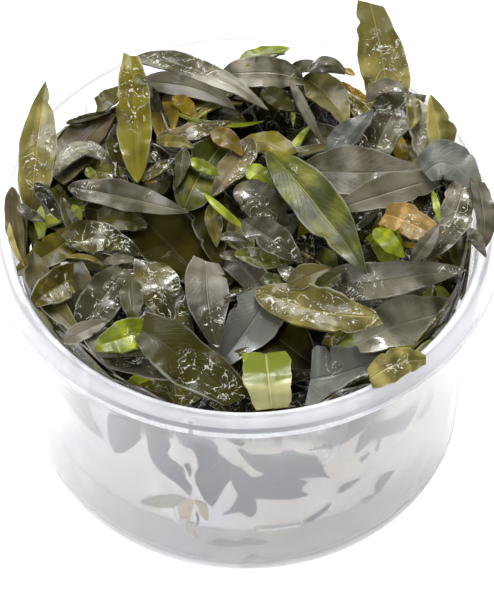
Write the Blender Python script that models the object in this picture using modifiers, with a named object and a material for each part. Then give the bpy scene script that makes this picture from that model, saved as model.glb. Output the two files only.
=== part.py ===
"""A clear plastic tissue culture cup of Cryptocoryne wendtii: the open cup, the nutrient gel in its
foot, the packed lower leaves, and the loose leaves that fill the mouth and press against the front
wall. +Z is up, and the origin is at the centre of the foot."""

import math

import bmesh
import bpy
import numpy as np

MM = 0.001  # every size below is in millimetres, and the meshes are in metres

# The cup
LIP_RADIUS = 50.0
CUP_HEIGHT = 59.0
CREST_RADIUS = 47.3
BEAD_DROP = 2.6  # the lip's outer bead lies this far below its crest
WALL_TOP_RADIUS = 45.6
FOOT_RADIUS = 43.8
FOOT_ROUNDING = 3.0
WALL = 0.9
FLOOR = 1.1
CUP_SEGMENTS = 64

# The gel and the packed leaves on it
GAP = 0.35  # left free between pieces that touch
GEL_TOP = 15.0
GEL_SEGMENTS = 40
BED_RADIUS = 40.8
BED_TOP = 48.5  # at the middle of the cup
BED_SLOPE = 0.13  # it rises towards the back
BED_RISE = 2.0  # and to the wall, except at the front
BED_SPREAD = 1.8  # as much wider it is there
BED_FOOT_RADIUS = 20.0  # where it stands on the gel
BED_SEGMENTS = 40
BED_RINGS = 20
HOLLOW = (6.0, 23.0)  # centre of the deep open gap in the heap
HOLLOW_RADIUS = 6.5
HOLLOW_DEPTH = 13.0

# A leaf
BLADE = 0.4  # thickness
BLADE_STEPS = 8  # facets along a leaf, and two across it

# The heap was laid out by eye from one standpoint. A leaf's place is where it shows on a level just
# under the rim, and it rests, along the line of sight, on what lies behind it.
EYE = np.array([0.0, -380.5, 522.7])
LEVEL = 57.0
TOWARDS = np.array([0.0, -0.634, 0.773])  # from the middle of that level to the eye
UPWARDS = np.array([0.0, 0.773, 0.634])
ACROSS = np.array([1.0, 0.0, 0.0])
DEEPEST = -9.0  # no leaf of the heap settles farther than this behind that level
CELL = 0.5  # of the grid that holds how far the heap has grown
HALF_GRID = 80.0
FINER = 12  # points tested along each facet
DRAPE = 0.35

TONES = {
    "slate": (0.080, 0.086, 0.066),
    "dark": (0.030, 0.036, 0.020),
    "olive": (0.120, 0.120, 0.035),
    "straw": (0.330, 0.300, 0.070),
    "lime": (0.200, 0.310, 0.040),
    "fresh": (0.160, 0.210, 0.080),
    "lilac": (0.170, 0.165, 0.170),
    "tan": (0.560, 0.330, 0.110),
}


def leaf(base, middle, tip, width, tone, faces=(25, 0), twist=0, fold=12, cut=(0.0, 1.0), ends=(0, 0), least=0):
    """A leaf of the heap. base, middle and tip are points of its midrib: where it shows on LEVEL, and
    how much higher than its lowest part it stands there. faces is how far the blade is turned from
    the line of sight, upwards and to the right, in degrees, and 39 upwards is level. cut is the
    stretch of the whole blade that is there, as shares from base to tip, and ends is how slanted
    it is cut there, in degrees. least is the height that all of a leaf stays above, as where it lies
    over the rim."""
    return {
        "midrib": np.array([base, middle, tip], float),
        "width": width,
        "tone": tone,
        "faces": faces,
        "twist": twist,
        "fold": fold,
        "cut": cut,
        "ends": ends,
        "least": least,
    }


# From the bottom of the heap to its top
HEAP = [
    # the floors of the hollows
    leaf((-31, 4, 0), (-21, 0.5, 1), (-10, -4, 0), 11, "olive"),
    leaf((-23, 5, 0), (-14, -6, 1), (-6, -18, 0), 12, "dark"),
    leaf((-8.5, 9, 1), (-6.5, 0, 0), (-5, -11, 0), 8, "olive", faces=(5, -10)),
    leaf((11.5, 37.5, 3), (16.5, 32.5, 1), (20, 24, 0), 7.5, "olive", faces=(5, 25)),
    leaf((-12, 3, 0), (-8.5, 13, 0), (-2.5, 23, 1), 10, "fresh", faces=(5, 10)),
    leaf((-1, -19, 0), (6, -28, 1), (14, -35, 0), 12, "dark"),
    # the back
    leaf((-1.5, 41.5, 0), (3.5, 43.5, 1), (9, 45.5, 2), 4, "lime", faces=(30, 0)),
    leaf((-5, 38, 0), (3.5, 39, 2), (11.5, 37, 0), 7, "lilac", faces=(20, 0), cut=(0, 0.9), ends=(0, -20)),
    leaf((-21.5, 36, 1), (-11, 35, 2), (-2, 29, 0), 5.5, "lilac", faces=(25, 0)),
    leaf((-17.5, 21.5, 1), (-10.5, 23, 2), (-3, 26, 1), 4, "lilac", faces=(30, 0)),
    leaf((1, 21.5, 1), (-2, 14.5, 1), (-6.5, 6.5, 0), 6, "slate", faces=(15, -10)),
    leaf((-37.5, 11.5, 0), (-33, 19.5, 1), (-26.5, 28, 2), 9.5, "lilac", faces=(10, -20), cut=(0.15, 0.95), ends=(20, -25)),
    leaf((-37.5, 11.5, 0), (-32, 18.5, 3), (-25.5, 14, 0), 4.5, "lilac", faces=(45, 0)),
    leaf((-22.5, 42.5, 0), (-9.5, 39.5, 3), (4.5, 29, 0), 5.5, "slate", faces=(35, 0)),
    leaf((-21, 10, 0), (-22, 27, 1), (-23, 43.5, 3), 7, "olive", faces=(0, 0), cut=(0, 0.86), ends=(0, 20)),
    leaf((-41.5, 2, 0), (-41, 18.5, 6), (-40, 36.5, 13), 7.5, "straw", (-15, 10), 0, 16, least=59.8),
    leaf((28.5, 28.5, 0), (27.5, 43, 11), (25.5, 58, 20), 9.5, "straw", (-20, 5), cut=(0.12, 0.84), ends=(-15, 28)),
    leaf((33.5, 33.5, 1), (28, 25, 1), (25, 15, 0), 8.5, "slate", faces=(15, -5), cut=(0.1, 0.92), ends=(-25, 20)),
    leaf((33.5, 32, 0), (34.5, 23, 1), (35, 14, 0), 6, "slate", faces=(10, 25), cut=(0.1, 1)),
    leaf((16, 17, 0), (20.5, 22.5, 2), (25.5, 29, 1), 6, "lilac", faces=(25, -25)),
    leaf((38.5, 16, 0), (38, 24, 5), (37, 33, 10), 6, "straw", (-15, 25), 0, 25),
    leaf((10.5, 14, 0), (22, 12.5, 2), (35, 14, 0), 11, "slate", faces=(32, 0)),
    leaf((18, 3.5, 0), (27.5, 7.5, 1), (37.5, 11, 1), 6.5, "lilac", faces=(20, 0), cut=(0, 0.82)),
    leaf((35, 12.5, 0), (40.5, 14.5, 2), (45, 6, 0), 9, "lilac", (30, 10), cut=(0.1, 0.92), least=59.6),
    leaf((42.5, 9, 0), (39.5, 0, 1), (34, -10, 0), 7, "slate", faces=(10, 10), cut=(0.12, 1)),
    leaf((45, 10.5, 0), (46, 2, 1), (45, -6, 0), 5, "lilac", (15, 30), cut=(0.1, 0.9), ends=(20, 20), least=59.6),
    leaf((25, -2, 0), (27.5, -5.5, 1), (28, -11, 0), 6, "fresh", faces=(10, -20), cut=(0.15, 0.85), ends=(25, -25)),
    leaf((27, 2, 0), (31.5, 0, 1), (36.5, -3.5, 0), 6.5, "tan", faces=(15, 10), cut=(0.12, 0.82), ends=(0, 25)),
    # the left
    leaf((-45.5, 9, 0), (-44.5, -0.5, 0), (-42, -12, 0), 4, "olive", (5, -20), least=59.6),
    leaf((-34.5, 9, 0), (-23.5, 6.5, 2), (-11, 2.5, 0), 6, "lilac", faces=(15, 0)),
    leaf((-32, -2, 1), (-37, -7, 0), (-43.5, -12, 0), 6, "straw", faces=(20, 0), cut=(0.1, 0.9), ends=(0, 20)),
    leaf((-33.5, -5.5, 0), (-27, -4, 1), (-19.5, -8.5, 0), 6.5, "slate", faces=(30, 0), cut=(0.18, 1), ends=(-20, 0)),
    leaf((-33.5, -9.5, 1), (-31.5, -18.5, 1), (-30.5, -27, 0), 6, "lilac", faces=(15, 0), cut=(0.1, 0.95)),
    leaf((-30.5, -26.5, 0), (-27, -18.5, 1), (-21.5, -9.5, 1), 8, "slate", faces=(25, 10), cut=(0.1, 0.9), ends=(15, -25)),
    leaf((-43.5, -9.5, 0), (-40.5, -20, 0), (-33, -30, 0), 5.5, "slate", faces=(20, 10)),
    leaf((-33, -14, 0), (-36.5, -16, 1), (-40, -19.5, 0), 6.5, "straw", faces=(15, 20), cut=(0.2, 0.9), ends=(20, 0)),
    leaf((-18.5, -9.5, 1), (-15, -19, 1), (-10, -28.5, 0), 8, "slate", faces=(20, 0), cut=(0.12, 0.97), ends=(30, 0)),
    leaf((-34, -29, 0), (-26, -37, 0), (-14.5, -42, 0), 6.5, "dark", faces=(20, 0)),
    leaf((5, -16.5, 1), (1, -24.5, 1), (-5.5, -35, 0), 10, "slate", faces=(15, 5), cut=(0.12, 0.97), ends=(-25, 0)),
    leaf((-7.5, -9.5, 2), (-7, -20, 1), (-5, -31.5, 0), 8, "slate", faces=(15, 0), cut=(0.14, 1), ends=(20, 0)),
    leaf((-19, -26.5, 0), (-23.5, -28, 1), (-28, -30, 0), 6.5, "straw", faces=(25, 0), cut=(0.25, 0.92), ends=(20, 0)),
    leaf((-19.5, -26, 1), (-10.5, -33.5, 1), (-1.5, -42.5, 0), 10, "dark", faces=(20, 5), cut=(0.12, 0.82), ends=(-20, 25)),
    # the middle and the right
    leaf((-1.5, 9.5, 0), (3, 5, 1), (8.5, -0.5, 0), 7.5, "slate", faces=(20, 0)),
    leaf((-0.5, 0.5, 0), (5, -4, 1), (11, -10, 0), 6.5, "slate", faces=(25, 0)),
    leaf((12, -37.5, 0), (19.5, -35.5, 1), (28, -31, 0), 11, "slate", faces=(15, 0), cut=(0.28, 0.9), ends=(10, -20)),
    leaf((21, -29.5, 0), (30, -24.5, 2), (38.5, -22, 0), 9.5, "slate", faces=(25, 0), cut=(0.06, 0.8), ends=(0, 25)),
    leaf((24, -38.5, 0), (29, -35, 0), (34.5, -34, 0), 6, "straw", (10, -5), cut=(0.1, 0.92), ends=(25, 0), least=59.6),
    leaf((18.5, -16.5, 0), (31, -14, 2), (43.5, -12, 0), 8, "slate", faces=(25, 0), cut=(0.25, 1), ends=(-10, 0)),
    leaf((2, -16.5, 0), (12.5, -21, 2), (25, -23, 0), 9, "straw", faces=(25, 0), cut=(0, 0.9), ends=(0, -25)),
    leaf((4, -33, 0), (4.5, -39, 2), (5, -45.5, 0), 9, "fresh", faces=(10, 0), cut=(0.2, 0.75), fold=4),
    leaf((4.5, 18, 0), (14, 4, 2), (23, -12.5, 0), 9.5, "fresh", faces=(15, 5)),
]

# Leaves flat against the front wall: degrees round from the front, then height
WALL_LEAVES = [
    (((-64, 42), (-53, 35), (-42.5, 33.5)), 6.0),
    (((-32, 47), (-33.5, 38), (-34.5, 29)), 8.0),
    (((-23.5, 46), (-19.5, 37), (-12.5, 26)), 5.5),
    (((-15, 48), (-8.5, 37), (-10, 22)), 9.5),
    (((0, 41), (9.5, 35.5), (21, 32)), 11.0),
    (((31, 36), (44, 36), (57, 40)), 7.5),
]


def inner_radius(height):
    """Radius of the cup's inner wall, or of the clear way over its lip."""
    if height > CUP_HEIGHT + GAP:
        return LIP_RADIUS + GAP - 0.2
    share = min(max((height - FOOT_ROUNDING) / (CUP_HEIGHT - 4 - FOOT_ROUNDING), 0), 1)
    return FOOT_RADIUS - WALL + share * (WALL_TOP_RADIUS - FOOT_RADIUS)


def clear_scene():
    for found in list(bpy.data.objects):
        bpy.data.objects.remove(found, do_unlink=True)


def parts_collection(name):
    collection = bpy.data.collections.new(name)
    bpy.context.scene.collection.children.link(collection)
    return collection


def principled(name, colour, roughness):
    """A new material with this colour and roughness."""
    made = bpy.data.materials.new(name)
    made.use_nodes = True
    shader = made.node_tree.nodes["Principled BSDF"]
    shader.inputs["Base Color"].default_value = (*colour, 1.0)
    shader.inputs["Roughness"].default_value = roughness
    shader.inputs["Metallic"].default_value = 0.0
    return made


def add_object(name, shape, collection, surface):
    """The bmesh, in millimetres, as a named object of the collection."""
    mesh = bpy.data.meshes.new(name)
    bmesh.ops.scale(shape, vec=(MM, MM, MM), verts=shape.verts)
    shape.to_mesh(mesh)
    shape.free()
    mesh.materials.append(surface)
    made = bpy.data.objects.new(name, mesh)
    collection.objects.link(made)
    return made


def turned(name, profile, segments, collection, surface):
    """A profile of (radius, height) turned about Z. It runs out along the top and down its outer side."""
    shape = bmesh.new()
    corners = [shape.verts.new((radius, 0, height)) for radius, height in profile]
    for first, second in zip(corners, corners[1:]):
        shape.edges.new((first, second))
    made = add_object(name, shape, collection, surface)
    screw = made.modifiers.new("turn", "SCREW")
    screw.steps = screw.render_steps = segments
    screw.use_merge_vertices = True
    screw.merge_threshold = 0.00005
    screw.use_smooth_shade = True
    return made


def make_cup(collection):
    """The cup: a flat foot, a wall that widens upwards, and a lip that slopes out to a bead."""
    top = CUP_HEIGHT
    bead = top - BEAD_DROP
    foot = FOOT_RADIUS - FOOT_ROUNDING
    inside = [
        (0, FLOOR),
        (foot - 0.2, FLOOR),
        (FOOT_RADIUS - WALL - 0.7, FLOOR + 0.9),
        (FOOT_RADIUS - WALL, FOOT_ROUNDING + 0.3),
        (WALL_TOP_RADIUS - WALL, top - 4),
        (WALL_TOP_RADIUS - 0.2, top - 1.6),
        (CREST_RADIUS - 0.8, top - 0.2),
    ]
    lip = [
        (CREST_RADIUS, top),
        (LIP_RADIUS, bead),
        (LIP_RADIUS, bead - 0.5),
        (LIP_RADIUS - 0.6, bead - 0.8),
        (CREST_RADIUS - 0.1, top - 1.3),
    ]
    outside = [
        (WALL_TOP_RADIUS + 0.3, top - 2.4),
        (WALL_TOP_RADIUS, top - 4),
        (FOOT_RADIUS, FOOT_ROUNDING),
        (FOOT_RADIUS - 0.9, 0.9),
        (foot, 0),
        (0, 0),
    ]
    plastic = principled("cup", (0.86, 0.87, 0.88), 0.25)
    return turned("cup", inside + lip + outside, CUP_SEGMENTS, collection, plastic)


def make_gel(collection):
    """The gel, which stands a little higher where it meets the wall."""
    edge = inner_radius(GEL_TOP) - GAP
    low = FLOOR + GAP
    profile = [
        (0, GEL_TOP),
        (edge - 2.5, GEL_TOP),
        (edge, GEL_TOP + 0.7),
        (inner_radius(0) - GAP, FOOT_ROUNDING + 0.6),
        (inner_radius(0) - GAP - 1, FLOOR + 1.5),
        (FOOT_RADIUS - FOOT_ROUNDING - 0.8, low),
        (0, low),
    ]
    gel = principled("nutrient_gel", (0.62, 0.56, 0.45), 0.3)
    return turned("nutrient_gel", profile, GEL_SEGMENTS, collection, gel)


def backness(back):
    """0 at the front of the cup and 1 at its back, with a smooth change at its sides."""
    share = min(max((back + 12) / 30, 0), 1)
    return share * share * (3 - 2 * share)


def bed_height(across, back):
    """Height of the packed leaves' top at this place: a lumpy slope with one deep hollow."""
    lumps = 1.3 * math.sin(0.31 * across + 0.8) * math.cos(0.27 * back)
    lumps += 0.9 * math.sin(0.23 * back - 0.37 * across)
    reach = math.dist((across, back), HOLLOW) / HOLLOW_RADIUS
    hollow = HOLLOW_DEPTH / (1 + (reach / 1.6) ** 6)
    rise = BED_RISE * backness(back) * min(max((math.hypot(across, back) - 24) / 18, 0), 1) ** 2
    return BED_TOP + BED_SLOPE * back + rise + lumps - hollow


def bed_point(unit):
    """Where a point of the unit sphere goes: its cap is the bed's top, then come its side, which
    narrows downwards, and its foot."""
    turn = math.atan2(unit.y, unit.x)
    down = math.acos(min(max(unit.z, -1), 1)) / math.pi
    rim = BED_RADIUS + 0.7 * math.sin(5 * turn) + 0.5 * math.cos(8 * turn + 1)
    rim += BED_SPREAD * backness(BED_RADIUS * math.sin(turn))
    foot_height = GEL_TOP + 0.7 + GAP
    if down < 0.5:
        across, back = (rim * down / 0.5 * way for way in (math.cos(turn), math.sin(turn)))
        return across, back, bed_height(across, back) - 2 * (down / 0.5) ** 8
    edge = bed_height(rim * math.cos(turn), rim * math.sin(turn)) - 2
    share = min(1, (down - 0.5) / 0.3)
    radius = rim + (BED_FOOT_RADIUS - rim) * share
    radius *= min(1, (1 - down) / 0.2)
    return radius * math.cos(turn), radius * math.sin(turn), edge + share * (foot_height - edge)


def make_bed(collection):
    """The leaves and stems packed between the gel and the open heap, as one body."""
    shape = bmesh.new()
    bmesh.ops.create_uvsphere(shape, u_segments=BED_SEGMENTS, v_segments=BED_RINGS, radius=1)
    for vert in shape.verts:
        vert.co = bed_point(vert.co.normalized())
    bmesh.ops.triangulate(shape, faces=shape.faces)
    bmesh.ops.recalc_face_normals(shape, faces=shape.faces)
    corners = np.array([[vert.co[:] for vert in face.verts] for face in shape.faces])
    made = add_object("lower_leaves", shape, collection, principled("lower_leaves", TONES["dark"], 0.4))
    return made, corners


def raised(points, amount):
    """The points moved this far towards the eye, each along its own line of sight."""
    ways = EYE - points
    return points + amount * ways / np.linalg.norm(ways, axis=-1, keepdims=True)


def unit(vector):
    return vector / np.linalg.norm(vector, axis=-1, keepdims=True)


def along(three, share):
    """The smooth curve through three points, at each of these shares of its length."""
    share = np.asarray(share)[..., None]
    first = (2 * share - 1) * (share - 1) * three[0]
    return first + 4 * share * (1 - share) * three[1] + share * (2 * share - 1) * three[2]


def half_width(share, width, cut):
    """Half the width of a pointed blade that is widest before its middle."""
    whole = cut[0] + share * (cut[1] - cut[0])
    return width / 2 * np.maximum(0.01, np.sin(np.pi * whole**0.8)) ** 0.8


def turned_about(vector, axis, degrees):
    """The vector turned about the axis, where both have length 1."""
    angle = np.radians(degrees)[..., None] if np.ndim(degrees) else math.radians(degrees)
    lift = np.sum(axis * vector, axis=-1, keepdims=True) * (1 - np.cos(angle))
    return vector * np.cos(angle) + np.cross(axis, vector) * np.sin(angle) + axis * lift


def blade_grid(one):
    """The blade's middle surface as points: 3 rows across it, and BLADE_STEPS + 1 columns along it."""
    share = np.linspace(0, 1, BLADE_STEPS + 1)
    places = along(one["midrib"], share)
    level = np.column_stack([places[:, :2], np.full(len(share), LEVEL)])
    midrib = raised(level, (places[:, 2] / TOWARDS[2])[:, None])
    tangent = unit(np.gradient(midrib, axis=0))
    facing = turned_about(TOWARDS, ACROSS, -one["faces"][0])
    facing = turned_about(facing, UPWARDS, one["faces"][1])
    side = unit(np.cross(np.broadcast_to(facing, tangent.shape), tangent))
    side = turned_about(side, tangent, one["twist"] * (share - 0.5))
    normal = np.cross(tangent, side)
    half = half_width(share, one["width"], one["cut"])[:, None]
    base, tip = np.tan(np.radians(one["ends"]))
    side = side + (base * (1 - share) ** 3 + tip * share**3)[:, None] * tangent
    lift = half * math.tan(math.radians(one["fold"])) * normal
    return np.stack([midrib - half * side + lift, midrib, midrib + half * side + lift])


def sampled(grid):
    """Points spread closely over the facets of a grid of points."""
    rows, columns = grid.shape[:2]
    across = np.linspace(0, rows - 1, FINER * (rows - 1) + 1)
    length = np.linspace(0, columns - 1, FINER * (columns - 1) + 1)
    in_row = np.maximum(0, 1 - abs(across[:, None] - np.arange(rows)))
    in_column = np.maximum(0, 1 - abs(length[:, None] - np.arange(columns)))
    return np.einsum("ar,bc,rcx->abx", in_row, in_column, grid)


def seen(points):
    """For each point, the cell of the sight grid that it shows in, and how far it stands before LEVEL
    along its line of sight."""
    ways = points - EYE
    share = (LEVEL - EYE[2]) / ways[..., 2]
    depth = (share - 1) * np.linalg.norm(ways, axis=-1)
    foot = EYE + share[..., None] * ways
    column = ((foot[..., 0] + HALF_GRID) / CELL).astype(int)
    row = ((foot[..., 1] + HALF_GRID) / CELL).astype(int)
    return column, row, depth


def grown(heap, grid):
    """The heap with one more surface on it, spread to the cells beside each of its points."""
    column, row, depth = seen(sampled(grid))
    added = np.full_like(heap, -np.inf)
    np.maximum.at(added, (column, row), depth + 0.75 * BLADE)
    for axis in (0, 1):
        added = np.maximum(added, np.maximum(np.roll(added, 1, axis), np.roll(added, -1, axis)))
    return np.maximum(heap, added)


def draped(start, heap):
    """How far each point of the blade's grid has to come forward to lie on the heap. The blade bends
    over what it meets, but no more steeply than DRAPE."""
    column, row, depth = seen(sampled(start))
    short = heap[column, row] - depth + 0.75 * BLADE + GAP
    rows, columns = start.shape[:2]
    nodes = start.reshape(-1, 3)
    need = np.empty(len(nodes))
    for index in range(len(nodes)):
        across, length = np.array(divmod(index, columns)) * FINER
        beside = short[max(across - FINER, 0) : across + FINER + 1]
        need[index] = beside[:, max(length - FINER, 0) : length + FINER + 1].max()
    apart = np.linalg.norm(nodes[:, None] - nodes[None], axis=-1)
    return (need[None] - DRAPE * apart).max(axis=1).reshape(rows, columns, 1)


def overreach(grid):
    """How far the blade reaches past the wall's clear inner radius, and at which point."""
    points = grid.reshape(-1, 3)
    limit = np.array([inner_radius(point[2] - BLADE) for point in points]) - GAP - BLADE
    beyond = np.hypot(points[:, 0], points[:, 1]) - limit
    return beyond.max(), points[beyond.argmax()]


def settled(one, heap):
    """The blade's points once it rests on the heap. A blade that would pass through the wall moves
    inwards or, at the back, up along the line of sight."""
    lift = 0.0
    for _ in range(12):
        start = blade_grid(one)
        grid = raised(start, draped(start, heap) + lift)
        grid = raised(grid, max(0, one["least"] - grid[..., 2].min()) / TOWARDS[2])
        beyond, point = overreach(grid)
        if beyond <= 0.02:
            break
        if point[1] > 18:
            lift += beyond * 1.3 * np.hypot(point[0], point[1]) / point[1]
        else:
            one["midrib"][:, :2] -= beyond * unit(point[:2])
    return grid


def wall_grid(route, width):
    """A blade against the front wall: its midrib in degrees round from the front and in height."""
    share = np.linspace(0, 1, BLADE_STEPS + 1)
    turn, height = along(np.array(route, float), share).T
    around = np.radians(turn) * FOOT_RADIUS
    tangent = unit(np.gradient(np.column_stack([around, height]), axis=0))
    half = half_width(share, width, (0, 1))
    rows = []
    for side in (-1, 0, 1):
        turned_by = (around - side * half * tangent[:, 1]) / FOOT_RADIUS
        heights = height + side * half * tangent[:, 0]
        radius = np.array([inner_radius(each) for each in heights]) - GAP - BLADE
        rows.append(np.column_stack([radius * np.sin(turned_by), -radius * np.cos(turned_by), heights]))
    return np.stack(rows)


def make_blade(name, grid, tone, collection):
    """The grid of points as a thin solid leaf."""
    shape = bmesh.new()
    bmesh.ops.create_grid(shape, x_segments=BLADE_STEPS, y_segments=2, size=1)
    for vert in shape.verts:
        column = round((vert.co.x + 1) / 2 * BLADE_STEPS)
        row = round(vert.co.y + 1)
        vert.co = grid[row, column]
    made = add_object(name, shape, collection, principled(name, TONES[tone], 0.3))
    thick = made.modifiers.new("thickness", "SOLIDIFY")
    thick.thickness = BLADE * MM
    thick.offset = 0
    return made


def main():
    clear_scene()
    collection = parts_collection("cryptocoryne_wendtii_cup")
    make_cup(collection)
    make_gel(collection)
    _, bed_corners = make_bed(collection)
    heap = np.full((int(2 * HALF_GRID / CELL),) * 2, DEEPEST)
    for corners in bed_corners:
        heap = grown(heap, corners[[0, 1, 2, 2]].reshape(2, 2, 3))
    number = 0
    for route, width in WALL_LEAVES:
        number += 1
        grid = wall_grid(route, width)
        heap = grown(heap, grid)
        make_blade(f"leaf_{number:02d}", grid, "slate", collection)
    for one in HEAP:
        number += 1
        grid = settled(one, heap)
        heap = grown(heap, grid)
        make_blade(f"leaf_{number:02d}", grid, one["tone"], collection)


main()
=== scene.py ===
import math

import bmesh
import bpy
import numpy as np
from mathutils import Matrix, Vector


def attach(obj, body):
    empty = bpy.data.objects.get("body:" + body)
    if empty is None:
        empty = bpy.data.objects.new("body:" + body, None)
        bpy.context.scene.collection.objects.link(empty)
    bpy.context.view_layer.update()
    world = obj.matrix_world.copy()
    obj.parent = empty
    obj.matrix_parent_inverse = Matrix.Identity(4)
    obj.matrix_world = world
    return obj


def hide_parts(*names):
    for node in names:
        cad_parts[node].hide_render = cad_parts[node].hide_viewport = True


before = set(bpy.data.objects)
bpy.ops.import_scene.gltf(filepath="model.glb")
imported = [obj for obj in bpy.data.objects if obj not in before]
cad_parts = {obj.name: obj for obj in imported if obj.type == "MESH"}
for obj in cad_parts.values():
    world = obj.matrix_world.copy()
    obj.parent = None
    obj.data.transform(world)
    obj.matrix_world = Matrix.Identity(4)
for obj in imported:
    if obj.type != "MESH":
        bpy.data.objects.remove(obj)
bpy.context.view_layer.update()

MM = 0.001  # the cup and its leaves are sized in millimetres

# The picture. The cup was photographed from just over half a metre away and a little over half way
# up, and the frame is a long lens's, so the far side of the rim is hardly smaller than the near one.

EYE = np.array([0.0, -380.5, 522.7])
AIM = Vector((0.0005, 0.6140, -0.7893))
LENS = 227.1

view = bpy.data.cameras.new("view")
view.sensor_fit = "HORIZONTAL"
view.sensor_width = 36
view.lens = LENS
camera = bpy.data.objects.new("view", view)
camera.location = Vector(EYE) * MM
camera.rotation_euler = AIM.to_track_quat("-Z", "Y").to_euler()
bpy.context.scene.collection.objects.link(camera)
bpy.context.scene.camera = camera
bpy.context.scene.view_settings.view_transform = "Standard"


def ready():
    """Object mode with nothing selected."""
    if bpy.context.object and bpy.context.object.mode != "OBJECT":
        bpy.ops.object.mode_set(mode="OBJECT")
    bpy.ops.object.select_all(action="DESELECT")


class Wire:
    """A shader value that takes Python's operators."""

    def __init__(self, socket, tree):
        self.socket = socket
        self.tree = tree

    def node(self, kind, settings=None, out=0, **values):
        """A new node of this kind: its settings are made first, then its sockets are set or linked."""
        made = self.tree.nodes.new("ShaderNode" + kind)
        for name, value in (settings or {}).items():
            if name == "stops":
                stops = made.color_ramp.elements
                while len(stops) < len(value):
                    stops.new(1)
                for stop, (place, colour) in zip(stops, value):
                    stop.position = place
                    stop.color = (*colour, 1) if len(colour) == 3 else colour
            else:
                setattr(made, name, value)
        for name, value in values.items():
            keys = [key for key in made.inputs.keys() if key.replace(" ", "_") == name]
            socket = made.inputs[int(name[1:])] if name[0] == "_" else made.inputs[keys[0]]
            if isinstance(value, Wire):
                self.tree.links.new(value.socket, socket)
            else:
                socket.default_value = value
        return Wire(made.outputs[out], self.tree)

    def math(self, operation, *values, clamp=False):
        named = {f"_{index}": value for index, value in enumerate(values)}
        return self.node("Math", {"operation": operation, "use_clamp": clamp}, **named)

    def __add__(self, other):
        return self.math("ADD", self, other)

    def __sub__(self, other):
        return self.math("SUBTRACT", self, other)

    def __mul__(self, other):
        return self.math("MULTIPLY", self, other)

    def __rsub__(self, other):
        return self.math("SUBTRACT", other, self)

    __radd__ = __add__
    __rmul__ = __mul__

    def between(self, low, high):
        """0 below low, 1 above high and smooth between them."""
        smooth = {"interpolation_type": "SMOOTHSTEP"}
        return self.node("MapRange", smooth, Value=self, From_Min=low, From_Max=high)

    def mixed(self, first, second):
        """The first colour where this is 0, and the second where it is 1."""
        return self.node("Mix", {"data_type": "RGBA"}, 2, _0=self, _6=first, _7=second)

    def most(self, other):
        return self.math("MAXIMUM", self, other)

    def noise(self, scale, detail=2.0, **more):
        """Soft cloudy values about 0.5 over this vector."""
        return self.node("TexNoise", Vector=self, Scale=scale, Detail=detail, **more)

    def axes(self):
        """This vector's three values."""
        parts = self.node("SeparateXYZ", _0=self).socket.node.outputs
        return [Wire(part, self.tree) for part in parts]

    def shown(self):
        """Makes this shader the surface of its material."""
        self.tree.links.new(self.socket, self.tree.nodes["Material Output"].inputs["Surface"])


def rgb(red, green, blue):
    return (red, green, blue, 1.0)


def blank(name):
    """A new material, its Principled shader and a Wire to start from."""
    made = bpy.data.materials.new(name)
    made.use_nodes = True
    tree = made.node_tree
    shader = tree.nodes["Principled BSDF"]
    place = tree.nodes.new("ShaderNodeTexCoord")
    return made, shader, Wire(place.outputs["Object"], tree)


def feed(shader, **wires):
    """Links or sets the shader's sockets."""
    for name, value in wires.items():
        socket = shader.inputs[name.replace("_", " ")]
        if isinstance(value, Wire):
            value.tree.links.new(value.socket, socket)
        else:
            socket.default_value = value


# The studio: a white floor that runs out of the picture, one large soft light over and behind the
# cup, which draws the grey sheen on the wet leaves, and a weaker one from the front left.

ready()
bpy.ops.mesh.primitive_plane_add(size=3, location=(0, 0.4, 0))
floor = bpy.context.object
floor.name = "studio_floor"
paper, shader, place = blank("white_paper")
grain = place.noise(40.0)
feed(shader, Base_Color=grain.mixed(rgb(0.9, 0.9, 0.9), rgb(0.93, 0.93, 0.93)), Roughness=0.9)
feed(shader, Emission_Color=rgb(1, 1, 1), Emission_Strength=0.62)
floor.data.materials.append(paper)


def soft_light(name, place, size, power):
    lamp = bpy.data.lights.new(name, "AREA")
    lamp.size = size
    lamp.energy = power
    held = bpy.data.objects.new(name, lamp)
    held.location = place
    held.rotation_euler = (Vector((0, 0, 0.05)) - Vector(place)).to_track_quat("-Z", "Y").to_euler()
    bpy.context.scene.collection.objects.link(held)


soft_light("back_softbox", (-0.1, 0.55, 1.05), 0.75, 16)
soft_light("front_softbox", (-0.6, -0.5, 0.9), 0.5, 6)
soft_light("key", (0.15, 0.8, 0.95), 0.22, 8)

world = bpy.data.worlds.new("white_room")
world.use_nodes = True
world.node_tree.nodes["Background"].inputs["Color"].default_value = rgb(1, 1, 1)
world.node_tree.nodes["Background"].inputs["Strength"].default_value = 0.32
bpy.context.scene.world = world

# The cup: one thin polypropylene moulding, turned about its axis. The foot is flat, the wall widens
# upwards, and the lip slopes out from its crest to a rounded bead. The plastic is hazy.

LIP_RADIUS = 50.0
CUP_HEIGHT = 59.0
CREST_RADIUS = 46.9
CREST_ROUNDING = 0.55
BEAD = 56.4
BEAD_ROUNDING = 0.5
WALL_TOP_RADIUS = 45.6
WALL_TOP = 55.0
FOOT_RADIUS = 43.8
FOOT_ROUNDING = 3.0
INNER_ROUNDING = 2.2
WALL = 0.9
FLOOR = 1.1
CUP_STEPS = 192


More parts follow.
